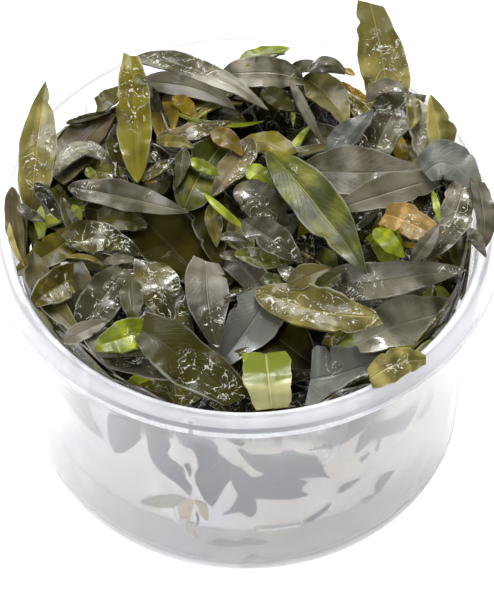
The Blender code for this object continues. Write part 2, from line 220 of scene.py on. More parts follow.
def turned(name, profile, steps):
    """A closed body turned from a profile of (radius, height), which runs down its outer side."""
    ready()
    bpy.ops.mesh.primitive_circle_add(vertices=len(profile), radius=1)
    made = bpy.context.object
    made.name = name
    shape = bmesh.new()
    shape.from_mesh(made.data)
    shape.verts.ensure_lookup_table()
    for vert, (radius, height) in zip(shape.verts, profile):
        vert.co = (radius * MM, 0, height * MM)
    shape.verts.index_update()
    last = len(profile) - 1
    on_axis = [edge for edge in shape.edges if {v.index for v in edge.verts} == {0, last}]
    bmesh.ops.delete(shape, geom=on_axis, context="EDGES_FACES")
    shape.to_mesh(made.data)
    shape.free()
    screw = made.modifiers.new("turn", "SCREW")
    screw.steps = screw.render_steps = steps
    screw.use_merge_vertices = True
    screw.merge_threshold = 0.00002
    bpy.ops.object.modifier_apply(modifier=screw.name)
    bpy.ops.object.mode_set(mode="EDIT")
    bpy.ops.mesh.select_all(action="SELECT")
    bpy.ops.mesh.remove_doubles(threshold=0.00001)
    bpy.ops.mesh.normals_make_consistent(inside=False)
    bpy.ops.object.mode_set(mode="OBJECT")
    bpy.ops.object.shade_smooth_by_angle(angle=math.radians(50))
    return made


def arc(centre, radius, start, end, steps):
    """Points of a rounding, with its angles in degrees from straight out."""
    turns = [math.radians(start + (end - start) * step / steps) for step in range(steps + 1)]
    return [(centre[0] + radius * math.cos(t), centre[1] + radius * math.sin(t)) for t in turns]


inner_foot = arc((FOOT_RADIUS - WALL - INNER_ROUNDING, FLOOR + INNER_ROUNDING), INNER_ROUNDING, -90, 0, 6)
inner_top = [(WALL_TOP_RADIUS - WALL, WALL_TOP), (45.0, 56.6), (45.6, 57.8)]
crest = arc((CREST_RADIUS, CUP_HEIGHT - CREST_ROUNDING), CREST_ROUNDING, 160, 40, 6)
lip_slope = [(48.3, 57.8)]
bead = arc((LIP_RADIUS - BEAD_ROUNDING, BEAD - BEAD_ROUNDING), BEAD_ROUNDING, 60, -110, 8)
under_lip = [(48.6, 56.3), (47.2, 57.4), (46.3, 57.0)]
outer_wall = [(45.85, 56.2), (WALL_TOP_RADIUS, WALL_TOP)]
foot = arc((FOOT_RADIUS - FOOT_ROUNDING, FOOT_ROUNDING), FOOT_ROUNDING, 0, -90, 8)
inner_side = [(0, FLOOR), *inner_foot, *inner_top, *crest]
outer_side = [*lip_slope, *bead, *under_lip, *outer_wall, *foot, (0, 0)]
cup = turned("cup_moulding", inner_side + outer_side, CUP_STEPS)

plastic, shader, place = blank("hazy_polypropylene")
streaks = place.node("Mapping", Vector=place, Scale=(1.0, 1.0, 0.25))
haze = streaks.noise(55.0, 4.0)
ripple = place.noise(160.0, 2.0)
patchy = place.noise(75.0, 5.0, Distortion=0.8)
feed(
    shader,
    Base_Color=patchy.between(0.4, 0.6).mixed(rgb(0.91, 0.92, 0.955), rgb(0.975, 0.98, 0.99)),
    Roughness=haze.between(0.3, 0.7) * 0.1 + 0.12,
    IOR=1.49,
    Transmission_Weight=1.0,
    Normal=place.node("Bump", Height=ripple, Strength=0.15, Distance=0.0004),
)
milk = place.node("BsdfTranslucent", Color=rgb(0.92, 0.925, 0.95))
chalk = place.node("BsdfDiffuse", Color=rgb(0.90, 0.905, 0.935))
body = place.node("MixShader", Fac=0.5, _1=milk, _2=chalk)
shade_grey = place.node("BsdfDiffuse", Color=rgb(0.27, 0.28, 0.31))
flat = place.node("VectorMath", {"operation": "MULTIPLY"}, _0=place, _1=(1, 1, 0))
radius = flat.node("VectorMath", {"operation": "LENGTH"}, 1, _0=flat)
sideways, back, height = place.axes()
behind = back.between(0.0, 0.02)

# How cloudy the plastic is: most at its lip and bead, where it is thick, and there the extra white is
# also their painted highlight; under the lip, where the mould was rough; and in its lowest few
# millimetres. Thin slanted streaks of extra haze are painted highlights on the wall.

lip = height.between(0.0548, 0.0572)
frost = streaks.noise(260.0, 6.0, Roughness=0.7)
frost = frost.between(0.5, 0.62) * height.between(0.046, 0.0535) * 0.5
slanted = place.node("Mapping", Vector=place, Rotation=(0.5, 0.3, 0.0), Scale=(1.0, 1.0, 0.3))
streak_highlight = slanted.noise(75.0, 2.0)
streak_highlight = streak_highlight.between(0.6, 0.64) * (1 - streak_highlight.between(0.65, 0.72)) * 0.12
whiter_foot = (1 - height.between(0.0005, 0.007)) * 0.45
thick = lip * 0.3 + frost * (1 - lip) + radius.between(0.0495, 0.0497) * 0.5
cloud = haze.between(0.25, 0.75) * 0.08 + 0.12 + streak_highlight + whiter_foot + thick
clouded = place.node("MixShader", Fac=cloud, _1=Wire(shader.outputs[0], place.tree), _2=body)

# Thin grey lines of painted shade: along the crest, in the groove over the bead in front, and on the
# moulding's nub.

groove = radius.between(0.0488, 0.0490) * (1 - radius.between(0.0494, 0.0496))
groove = groove * height.between(0.0558, 0.0562)
nearest = sideways.between(-0.032, -0.018) * (1 - sideways.between(0.0, 0.032))
groove = groove * (1 - behind) * (nearest * 0.7 + 0.15)
nub_shade = sideways.between(-0.0106, -0.0104) * (1 - sideways.between(-0.0098, -0.0096)) * (1 - behind)
nub_shade = nub_shade * radius.between(0.0484, 0.0486) * height.between(0.0540, 0.0542)
crest_shade = height.between(0.0585, 0.0588) * (behind * 0.3 + 0.05)
lines = crest_shade.most(groove).most(nub_shade * 0.6)
place.node("MixShader", Fac=lines, _1=clouded, _2=shade_grey).shown()
cup.data.materials.append(plastic)
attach(cup, "root")
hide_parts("cup")

# The nutrient gel: clear agar poured into the foot, yellowed by the plants. It climbs a little where
# it meets the wall, and a white line along its edge in front is a painted highlight.

GEL_TOP = 15.0
GAP = 0.35


def inner_radius(height):
    """Radius of the cup's inner wall, or of the clear way over its lip."""
    if height > CUP_HEIGHT + GAP:
        return LIP_RADIUS + GAP - 0.2
    share = min(max((height - FOOT_ROUNDING) / (CUP_HEIGHT - 4 - FOOT_ROUNDING), 0), 1)
    return FOOT_RADIUS - WALL + share * (WALL_TOP_RADIUS - FOOT_RADIUS)


edge = inner_radius(GEL_TOP) - 0.15
inset = INNER_ROUNDING + 0.2
gel_foot = arc((FOOT_RADIUS - WALL - inset, FLOOR + inset), INNER_ROUNDING, 0, -90, 6)
climb = [(4, 0.05), (1.5, 0.25), (0.5, 0.6), (0, 1.1), (0.1, -2)]
gel_profile = [(0, GEL_TOP), *((edge - inwards, GEL_TOP + rise) for inwards, rise in climb)]
gel = turned("gel_layer", [*gel_profile, *gel_foot, (0, FLOOR + 0.2)], 128)
agar, shader, place = blank("yellowed_agar")
cloudy = place.noise(28.0, 4.0)
tint = cloudy.between(0.4, 0.6).mixed(rgb(0.97, 0.96, 0.99), rgb(0.98, 0.90, 0.76))
feed(shader, Base_Color=tint, Roughness=0.18, IOR=1.34, Transmission_Weight=0.75)
aside, behind, height = place.axes()
glint = height.between(0.0152, 0.0155) * aside.between(0.0015, 0.003) * (1 - aside.between(0.0095, 0.011))
glint = glint * (1 - behind.between(-0.03, -0.02)) * 0.9
painted_highlight = place.node("BsdfDiffuse", Color=rgb(1, 1, 1))
place.node("MixShader", Fac=glint, _1=Wire(shader.outputs[0], place.tree), _2=painted_highlight).shown()
gel.data.materials.append(agar)
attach(gel, "root")
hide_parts("nutrient_gel")

# The leaves: thin wet blades, each with a midrib and wavy edges. Those in the mouth of the cup lie
# over one another as they show from the camera, from the bottom of the heap to its top, and each
# bends over what it meets. Their places are where they show on a level just under the rim.

LEVEL = 57.0
TOWARDS = np.array([0.0, -0.634, 0.773])  # from the middle of that level to the eye
UPWARDS = np.array([0.0, 0.773, 0.634])
ACROSS = np.array([1.0, 0.0, 0.0])
BLADE = 0.4  # thickness
BLADE_STEPS = 8  # facets along a leaf while it is laid down, and two across it
LARGE = (13, 57)  # points across a finished leaf, and along it
SMALL = (7, 25)
DEEPEST = -9.0  # no leaf of the heap settles farther than this behind the level
CELL = 0.5  # of the grid that holds how far the heap has grown
HALF_GRID = 80.0
FINER = 12  # points tested along each facet
DRAPE = 0.35  # the steepest that a leaf bends over what it meets


def unit(vector):
    return vector / np.linalg.norm(vector, axis=-1, keepdims=True)


def raised(points, amount):
    """The points moved this far towards the eye, each along its own line of sight."""
    return points + amount * unit(EYE - points)


def along(three, share):
    """The smooth curve through three points, at each of these shares of its length."""
    share = np.asarray(share)[..., None]
    first = (2 * share - 1) * (share - 1) * three[0]
    return first + 4 * share * (1 - share) * three[1] + share * (2 * share - 1) * three[2]


def half_width(share, width, cut):
    """Half the width of a pointed blade that is widest before its middle."""
    whole = cut[0] + share * (cut[1] - cut[0])
    return width / 2 * np.maximum(0.01, np.sin(np.pi * whole**0.8)) ** 0.8


def turned_about(vector, axis, degrees):
    """The vector turned about the axis, where both have length 1."""
    angle = np.radians(degrees)[..., None] if np.ndim(degrees) else math.radians(degrees)
    lift = np.sum(axis * vector, axis=-1, keepdims=True) * (1 - np.cos(angle))
    return vector * np.cos(angle) + np.cross(axis, vector) * np.sin(angle) + axis * lift


def ripples(one, across, share):
    """How far the blade waves out of its own plane: mostly along its edges, and a little inside."""
    chance = np.random.default_rng(one["seed"])
    total = 0
    for cycles, height in ((1.2, 0.6), (2.6, 0.6), (5.0, 0.25), (9.0, 0.1)):
        left, right = chance.uniform(0, 1, 2)
        count = cycles * chance.uniform(0.8, 1.2)
        phase = np.where(across < 0, left, right)
        total = total + height * chance.uniform(0.4, 1) * np.sin(2 * np.pi * (count * share + phase))
    belly = 0.3 * np.sin(2 * np.pi * (1.3 * share + chance.uniform()))
    groove = -0.2 * np.exp(-((across / 0.1) ** 2))
    return one["wave"] * (total * across**2 + belly * (1 - across**2)) + groove


def frayed(one, across, share):
    """How much wider or narrower the finished blade is at each point than the CAD leaf's smooth outline.
    Most blades have a nick or two in their edges."""
    chance = np.random.default_rng(one["seed"] + 900)
    total = 1.0
    for cycles, amount in ((1.1, 0.06), (2.9, 0.03), (7.0, 0.01)):
        left, right = chance.uniform(0, 1, 2)
        total = total + amount * np.sin(2 * np.pi * (cycles * share + np.where(across < 0, left, right)))
    for _ in range(chance.integers(0, 3)):
        place, reach, depth = chance.uniform(0.1, 0.9), chance.uniform(0.02, 0.05), chance.uniform(0.05, 0.3)
        side = np.where(across * chance.choice((-1, 1)) > 0, 1, 0)
        total = total - side * depth * np.exp(-(((share - place) / reach) ** 2))
    return total


def blade_grid(one, rows=3, columns=BLADE_STEPS + 1):
    """The blade's middle surface before it is laid down, as rows of points. With 3 rows it is the CAD
    leaf's plain fold, and with more it is curved and wavy."""
    share = np.linspace(0, 1, columns)
    places = along(one["midrib"], share)
    level = np.column_stack([places[:, :2], np.full(columns, LEVEL)])
    midrib = raised(level, (places[:, 2] / TOWARDS[2])[:, None])
    tangent = unit(np.gradient(midrib, axis=0))
    facing = turned_about(TOWARDS, ACROSS, -one["faces"][0])
    facing = turned_about(facing, UPWARDS, one["faces"][1])
    side = unit(np.cross(np.broadcast_to(facing, tangent.shape), tangent))
    side = turned_about(side, tangent, one["twist"] * (share - 0.5))
    normal = np.cross(tangent, side)
    base, tip = np.tan(np.radians(one["ends"]))
    side = side + (base * (1 - share) ** 3 + tip * share**3)[:, None] * tangent
    half = half_width(share, one["width"], one["cut"])[:, None]
    across = np.linspace(-1, 1, rows)[:, None, None]
    lift = abs(across) * half * math.tan(math.radians(one["fold"]))
    if rows > 3:
        lift = lift * abs(across) ** 0.4 + ripples(one, across, share[None, :, None]) * half / 4
        half = half * frayed(one, across, share[None, :, None])
    return midrib + across * half * side + lift * normal


def sampled(grid, finer=FINER):
    """Points spread closely over the facets of a grid of points."""
    rows, columns = grid.shape[:2]
    across = np.linspace(0, rows - 1, finer * (rows - 1) + 1)
    length = np.linspace(0, columns - 1, finer * (columns - 1) + 1)
    in_row = np.maximum(0, 1 - abs(across[:, None] - np.arange(rows)))
    in_column = np.maximum(0, 1 - abs(length[:, None] - np.arange(columns)))
    return np.einsum("ar,bc,rcx->abx", in_row, in_column, grid)


def seen(points):
    """For each point, the cell of the sight grid that it shows in, and how far it stands before LEVEL
    along its line of sight."""
    ways = points - EYE
    share = (LEVEL - EYE[2]) / ways[..., 2]
    depth = (share - 1) * np.linalg.norm(ways, axis=-1)
    foot = EYE + share[..., None] * ways
    column = ((foot[..., 0] + HALF_GRID) / CELL).astype(int)
    row = ((foot[..., 1] + HALF_GRID) / CELL).astype(int)
    return column, row, depth


def grown(heap, grid, side=1):
    """The heap with one more surface on it, spread to the cells beside each of its points. With side
    -1 it grows the other way, from under the surfaces, as what lies below them sees them."""
    column, row, depth = seen(sampled(grid))
    added = np.full_like(heap, -np.inf)
    np.maximum.at(added, (column, row), side * depth + 0.75 * BLADE)
    for axis in (0, 1):
        added = np.maximum(added, np.maximum(np.roll(added, 1, axis), np.roll(added, -1, axis)))
    return np.maximum(heap, added)


def highest(values, rows, columns, finer=FINER):
    """The highest of the close values around each point of a grid that is this much coarser."""
    most = np.empty((rows, columns))
    for row in range(rows):
        for column in range(columns):
            beside = values[max(finer * (row - 1), 0) : finer * (row + 1) + 1]
            most[row, column] = beside[:, max(finer * (column - 1), 0) : finer * (column + 1) + 1].max()
    return most


def gentle(need, grid):
    """At least what each point of the grid needs, and nowhere steeper than DRAPE."""
    nodes = grid.reshape(-1, 3)
    apart = np.linalg.norm(nodes[:, None] - nodes[None], axis=-1)
    return (need.ravel()[None] - DRAPE * apart).max(axis=1).reshape(need.shape)


def draped(start, heap):
    """How far each point of the blade's grid has to come forward to lie on the heap. The blade bends
    over what it meets, but only gently."""
    column, row, depth = seen(sampled(start))
    short = heap[column, row] - depth + 0.75 * BLADE + GAP
    return gentle(highest(short, *start.shape[:2]), start)


def overreach(grid):
    """How far the blade reaches past the wall's clear inner radius, and at which point."""
    points = grid.reshape(-1, 3)
    limit = np.array([inner_radius(point[2] - BLADE) for point in points]) - GAP - BLADE
    beyond = np.hypot(points[:, 0], points[:, 1]) - limit
    return beyond.max(), points[beyond.argmax()]


def settled(one, heap):
    """The blade's coarse points once it rests on the heap, and how far each of them came forward. A
    blade that would pass through the wall moves inwards or, at the back, up along the line of sight."""
    lift = 0.0
    for _ in range(12):
        start = blade_grid(one)
        forward = draped(start, heap) + lift
        grid = raised(start, forward[..., None])
        over = max(0, one["least"] - grid[..., 2].min()) / TOWARDS[2]
        grid = raised(grid, over)
        beyond, point = overreach(grid)
        if beyond <= 0.02:
            break
        if point[1] > 18:
            lift += beyond * 1.3 * np.hypot(point[0], point[1]) / point[1]
        else:
            one["midrib"][:, :2] -= beyond * unit(point[:2])
    return grid, forward + over


def eased(values, share):
    """A smooth row through evenly spaced values, at these shares of its length."""
    last = len(values) - 1
    index = np.clip((share * last).astype(int), 0, last - 1)
    step = share * last - index
    before, here, after, beyond = (values[np.clip(index + k, 0, last)] for k in (-1, 0, 1, 2))
    bend = (2 * before - 5 * here + 4 * after - beyond) * step**2 / 2
    return here + (after - before) * step / 2 + bend + (3 * (here - after) + beyond - before) * step**3 / 2


def laid(one, forward, rows, columns):
    """The finished blade's points, brought forward as its coarse ones were."""
    start = blade_grid(one, rows, columns)
    share = np.linspace(0, 1, columns)
    left, middle, right = (eased(row, share) for row in forward)
    across = np.linspace(-1, 1, rows)[:, None]
    amount = np.where(across < 0, middle + (left - middle) * -across, middle + (right - middle) * across)
    return raised(start, amount[..., None])


def thickened(made, thickness=BLADE):
    """The sheet with this thickness, half of it on either side."""
    thick = made.modifiers.new("thickness", "SOLIDIFY")
    thick.thickness = thickness * MM
    thick.offset = 0
    bpy.ops.object.modifier_apply(modifier=thick.name)
    return made


def blade_object(name, points, shade, film, thickness=BLADE):
    """A solid leaf through the rows of points. Each point has a shade, from the tone's first colour to
    its second, and how much the water on it has broken into beads and ridges, with painted glints."""
    rows, columns = points.shape[:2]
    ready()
    bpy.ops.mesh.primitive_grid_add(x_subdivisions=columns - 1, y_subdivisions=rows - 1, size=2)
    made = bpy.context.object
    made.name = name
    flat = np.empty(len(made.data.vertices) * 3)
    made.data.vertices.foreach_get("co", flat)
    flat = (flat.reshape(-1, 3) + 1) / 2
    column = np.rint(flat[:, 0] * (columns - 1)).astype(int)
    row = np.rint(flat[:, 1] * (rows - 1)).astype(int)
    made.data.vertices.foreach_set("co", (points[row, column] * MM).ravel())
    for attribute, values in (("shade", shade), ("film", film)):
        layer = made.data.attributes.new(attribute, "FLOAT", "POINT")
        layer.data.foreach_set("value", np.broadcast_to(values, (rows, columns))[row, column])
    thickened(made, thickness)
    bpy.ops.object.shade_smooth_by_angle(angle=math.radians(60))
    return made


def patches(seed, rows, columns):
    """A leaf's own shade at each of its points: soft patches around a level of its own."""
    chance = np.random.default_rng(seed + 500)
    share = np.linspace(0, 1, columns)[None, :]
    across = np.linspace(-1, 1, rows)[:, None]
    total = chance.uniform(0.3, 0.7)
    for cycles in (0.8, 1.9, 3.7):
        phase = chance.uniform(0, 2 * np.pi, 2)
        total = total + 0.16 * np.sin(cycles * 2 * np.pi * share + phase[0] + across)
        total = total + 0.08 * np.sin(cycles * 3 * across + phase[1])
    return np.clip(total, 0, 1)


def beading(spots, rows, columns):
    """How broken the water is at each point, from spots of (share of length, across, reach, amount)."""
    share = np.linspace(0, 1, columns)[None, :]
    across = np.linspace(-1, 1, rows)[:, None]
    total = np.zeros((rows, columns))
    for place, side, reach, amount in np.reshape(spots, (-1, 4)):
        near = np.exp(-(((share - place) / reach) ** 2) - ((across - side) / 0.8) ** 2)
        total = np.maximum(total, amount * near)
    return total


def leaf_surface(name, first, second, glow, sheen, mix=0.25, wetness=1.0):
    """Wet leaf. Its shade runs from the first colour to the second, the light that comes through it has
    the glow's colour, sheen is how rough its smooth parts are, and wetness is how strongly it mirrors.
    Where the water on it has broken up, bright winding lines, specks and a pale edge are painted on as
    highlights."""
    made, shader, place = blank(name)
    shade = place.node("Attribute", {"attribute_name": "shade"}, 2)
    film = place.node("Attribute", {"attribute_name": "film"}, 2)
    length, across, _ = Wire(place.socket.node.outputs["UV"], place.tree).axes()

    # the midrib, and the side veins that run slanting out from it
    out = (across - 0.5).math("ABSOLUTE", across - 0.5)
    rib = 1 - out.between(0.006, 0.04)
    slanted = length * 15.0 - out * 10.0
    veins = slanted.math("SINE", slanted * 6.2832).between(0.8, 1.0) * (1 - rib)

    # where water stands on it; the lines, specks and bright margin where it ends are painted highlights
    mottle = place.noise(210.0, 5.0, Roughness=0.6)
    broad = place.noise(85.0, 3.0)
    fine = place.noise(1000.0, 4.0, Roughness=0.6)
    winding = place.noise(300.0, 3.0, Roughness=0.5, Distortion=1.0)
    dots = place.noise(1500.0, 1.0)
    level = winding.math("ABSOLUTE", winding - 0.5)
    wet = (film * 1.3 + broad - 0.9).between(-0.15, 0.25)
    glint_lines = (1 - level.between(0.004, 0.016)) * wet * fine.between(0.38, 0.5) * 0.8
    glint_specks = dots.between(0.71, 0.74) * wet
    edge_highlight = out.between(0.455, 0.495) * broad.between(0.42, 0.6) * (film * 0.6 + 0.22)
    painted_highlight = glint_lines.most(glint_specks).most(edge_highlight)

    tone = shade + (mottle - 0.5) * 1.5 + (fine - 0.5) * 0.3
    colour = tone.most(0.0).between(0.0, 1.0).mixed(rgb(*first), rgb(*second))
    pale = [min(1, 0.04 + 1.6 * each) for each in second]
    colour = (rib * 0.3 + veins * 0.03).mixed(colour, rgb(*pale))
    height = winding.between(0.47, 0.53) * wet * 0.9 + fine * 0.15 + mottle * 0.5 - rib * 0.5 - veins * 0.06
    feed(
        shader,
        Base_Color=painted_highlight.mixed(colour, rgb(0.85, 0.84, 0.74)),
        Roughness=mottle * 0.2 + (sheen - 0.1) - wet * 0.12,
        IOR=1.45,
        Specular_IOR_Level=0.5 * wetness,
        Coat_Weight=(wet * 0.5 + broad.between(0.42, 0.62) * 0.4) * wetness,
        Coat_Roughness=0.06,
        Coat_IOR=1.33,
        Normal=place.node("Bump", Height=height, Strength=0.6, Distance=0.0005),
    )
    through = place.node("BsdfTranslucent", Color=rgb(*glow))
    place.node("MixShader", Fac=mix, _1=Wire(shader.outputs[0], place.tree), _2=through).shown()
    return made


LOOKS = {
    "slate": ((0.022, 0.018, 0.002), (0.095, 0.080, 0.014), (0.11, 0.10, 0.004), 0.36, 0.25, 0.8),
    "dark": ((0.006, 0.005, 0.0006), (0.040, 0.034, 0.002), (0.07, 0.06, 0.002), 0.38, 0.25, 0.5),
    # very dark leaf colours, darkened further as painted shade for the lower leaves in the gaps
    "packed": ((0.004, 0.0035, 0.0005), (0.055, 0.045, 0.002), (0.10, 0.085, 0.002), 0.4, 0.25, 0.35),
    # darker and duller leaves for the floors of the hollows: painted shade
    "deep": ((0.007, 0.0055, 0.0004), (0.040, 0.032, 0.001), (0.10, 0.08, 0.002), 0.5, 0.3, 0.12),
    "olive": ((0.060, 0.050, 0.002), (0.21, 0.18, 0.008), (0.36, 0.31, 0.004), 0.34, 0.3, 0.8),
    "straw": ((0.11, 0.095, 0.016), (0.40, 0.34, 0.10), (0.45, 0.40, 0.04), 0.36),
    "lime": ((0.12, 0.15, 0.003), (0.38, 0.42, 0.014), (0.55, 0.62, 0.01), 0.34, 0.35),
    "pale": ((0.14, 0.17, 0.008), (0.50, 0.48, 0.22), (0.45, 0.45, 0.05), 0.34),
    "fresh": ((0.030, 0.038, 0.002), (0.19, 0.185, 0.018), (0.24, 0.25, 0.008), 0.36, 0.25, 0.65),
    "lilac": ((0.040, 0.034, 0.012), (0.16, 0.138, 0.095), (0.10, 0.09, 0.02), 0.40),
    "teal": ((0.035, 0.039, 0.028), (0.14, 0.15, 0.12), (0.09, 0.10, 0.02), 0.36),
    # a pale grey leaf colour that stands in, as painted sheen, for the broad grey reflection on wet leaves
    "silver": ((0.055, 0.047, 0.016), (0.34, 0.31, 0.225), (0.16, 0.14, 0.03), 0.34),
    "brown": ((0.055, 0.038, 0.008), (0.18, 0.145, 0.055), (0.18, 0.13, 0.01), 0.36),
    "amber": ((0.13, 0.09, 0.002), (0.40, 0.29, 0.008), (0.70, 0.50, 0.005), 0.35, 0.45),
    "tan": ((0.20, 0.12, 0.02), (0.66, 0.44, 0.15), (0.55, 0.35, 0.06), 0.42),
}
TONES = {tone: leaf_surface(tone + "_leaf", *look) for tone, look in LOOKS.items()}


SLOTS = {"amber": "tan", "packed": "dark"}  # tones that go by another tone's name


def finished(piece, tone, node=None, dress=None):
    """Binds the piece to the cup, in the colours of its tone or of dress where that differs, and hides
    the CAD node that it stands for.
    """
    piece.data.materials.append(TONES[dress or tone])
    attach(piece, "root")
    if node:
        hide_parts(node)
    "leaf_" + SLOTS.get(tone, tone)


def joined(name, pieces):
    ready()
    for piece in pieces:
        piece.select_set(True)
    bpy.context.view_layer.objects.active = pieces[0]
    bpy.ops.object.join()
    pieces[0].name = name
    return pieces[0]


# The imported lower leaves: several hundred leaves and torn pieces, pressed into the cup by hand. They
# hang down from the heap in a loose cone, so that little but stray leaves reaches the wall.

BED_TOP = 48.5
BED_SLOPE = 0.13
BED_RISE = 2.0
HOLLOW = (6.0, 23.0)
HOLLOW_RADIUS = 6.5
HOLLOW_DEPTH = 13.0
BED_RADIUS = 40.8
BED_SPREAD = 1.8
BED_FOOT = 16.0
BED_FOOT_RADIUS = 20.0
TOP_LEAVES = 300
ALONG_RIM = 33.0  # the top leaves beyond it follow the rim
SIDE_LEAVES = 110
UNROLLED = 30.0  # the side leaves are laid out on a flat strip, rolled up at this radius


def backness(back):
    """0 at the front of the cup and 1 at its back, with a smooth change at its sides."""
    share = np.clip((back + 12) / 30, 0, 1)
    return share * share * (3 - 2 * share)


def bed_height(across, back):
    lumps = 1.3 * math.sin(0.31 * across + 0.8) * math.cos(0.27 * back)
    lumps += 0.9 * math.sin(0.23 * back - 0.37 * across)
    reach = math.dist((across, back), HOLLOW) / HOLLOW_RADIUS
    hollow = HOLLOW_DEPTH / (1 + (reach / 1.6) ** 6)
    outwards = min(max((math.hypot(across, back) - 24) / 18, 0), 1)
    rise = BED_RISE * backness(back) * outwards**2
    return BED_TOP + BED_SLOPE * back + rise + lumps - hollow


def rim_radius(turn):
    """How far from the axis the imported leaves' rim is, at this angle."""
    lumps = 0.7 * np.sin(5 * turn) + 0.5 * np.cos(8 * turn + 1)
    return BED_RADIUS + BED_SPREAD * backness(BED_RADIUS * np.sin(turn)) + lumps


def cone_radius(height, turn):
    """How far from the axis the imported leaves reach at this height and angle."""
    share = np.clip((height - BED_FOOT) / 29, 0, 1)
    return BED_FOOT_RADIUS + (rim_radius(turn) - BED_FOOT_RADIUS) * share**0.9


def free_blade(centre, heading, tilt, roll, length, width, bend, seed, rows=5, columns=17):
    """A blade about a centre: heading and tilt in degrees give its way, and bend how far its middle
    stands up from its ends."""
    share = np.linspace(0, 1, columns)
    turn, climb = math.radians(heading), math.radians(tilt)
    level = math.cos(climb)
    way = np.array([math.cos(turn) * level, math.sin(turn) * level, math.sin(climb)])
    flat = np.array([-math.sin(turn), math.cos(turn), 0.0])
    side = turned_about(flat, way, roll)
    normal = np.cross(way, side)
    bow = bend * np.sin(np.pi * share)
    middle = centre + np.outer((share - 0.5) * length, way) + np.outer(bow, normal)
    half = half_width(share, width, (0, 1))[:, None]
    across = np.linspace(-1, 1, rows)[:, None, None]
    wave = ripples({"seed": seed, "wave": 0.8}, across, share[None, :, None]) * half / 4
    return middle + across * half * side + (0.2 * half * abs(across) ** 1.4 + wave) * normal


def packed_blade(points, shade):
    packed.append(blade_object(f"packed_{len(packed)}", points, shade, 0.3, 0.3))


chance = np.random.default_rng(11)
packed = []
while len(packed) < TOP_LEAVES:
    radius, turn = 42 * math.sqrt(chance.uniform()), chance.uniform(0, 2 * math.pi)
    centre = np.array([radius * math.cos(turn), radius * math.sin(turn), 0])
    length, width = chance.uniform(14, 25), chance.uniform(5, 9)
    heading, roll = chance.uniform(0, 360), chance.normal(0, 12)
    if radius > ALONG_RIM:
        heading = math.degrees(turn) + 90 + chance.normal(0, 15)
    points = free_blade(centre, heading, chance.normal(0, 5), roll, length, width, 1.0, len(packed))
    reach = np.hypot(points[..., 0], points[..., 1])
    rims = rim_radius(np.arctan2(points[..., 1], points[..., 0]))
    if (reach > rims + 1.5).any():
        continue
    points[..., :2] *= np.minimum(1, (rims - 0.2) / reach)[..., None]
    tops = np.array([[bed_height(x, y) for x, y, _ in row] for row in points])
    tops = tops - 2 * np.minimum(reach / rims, 1) ** 8
    depth = 0.5 + 4.5 * len(packed) / TOP_LEAVES
    points[..., 2] = np.minimum(tops - depth + points[..., 2], tops - 0.2)
    packed_blade(points, np.clip(chance.normal(0.4, 0.3), 0, 1))
while len(packed) < TOP_LEAVES + SIDE_LEAVES:
    centre = np.array([chance.uniform(0, 2 * math.pi) * UNROLLED, chance.uniform(19, 46), 0])
    length, width = chance.uniform(14, 24), chance.uniform(5, 8)
    heading, roll = chance.uniform(0, 360), chance.normal(0, 15)
    points = free_blade(centre, heading, 0, roll, length, width, 0.8, len(packed))
    height = np.clip(points[..., 1], BED_FOOT + 0.3, 46.5)
    turn = points[..., 0] / UNROLLED
    depth = chance.uniform(0.3, 4)
    reach = cone_radius(height, turn) - np.maximum(depth - points[..., 2], 0.2)
    points = np.stack([reach * np.cos(turn), reach * np.sin(turn), height], axis=-1)
    packed_blade(points, np.clip(chance.normal(0.5, 0.3), 0, 1))
bed = joined("packed_lower_leaves", packed)
# Their dark colour is partly painted shade for the gaps they show in.
finished(bed, "packed", "lower_leaves")

# The leaves flat against the front wall, which show through it as dark shapes. Their midribs are given
# in degrees round from the front and in height, and so is the ragged outline that each really has.
# The scraps beside them are smaller than any leaf of the heap.

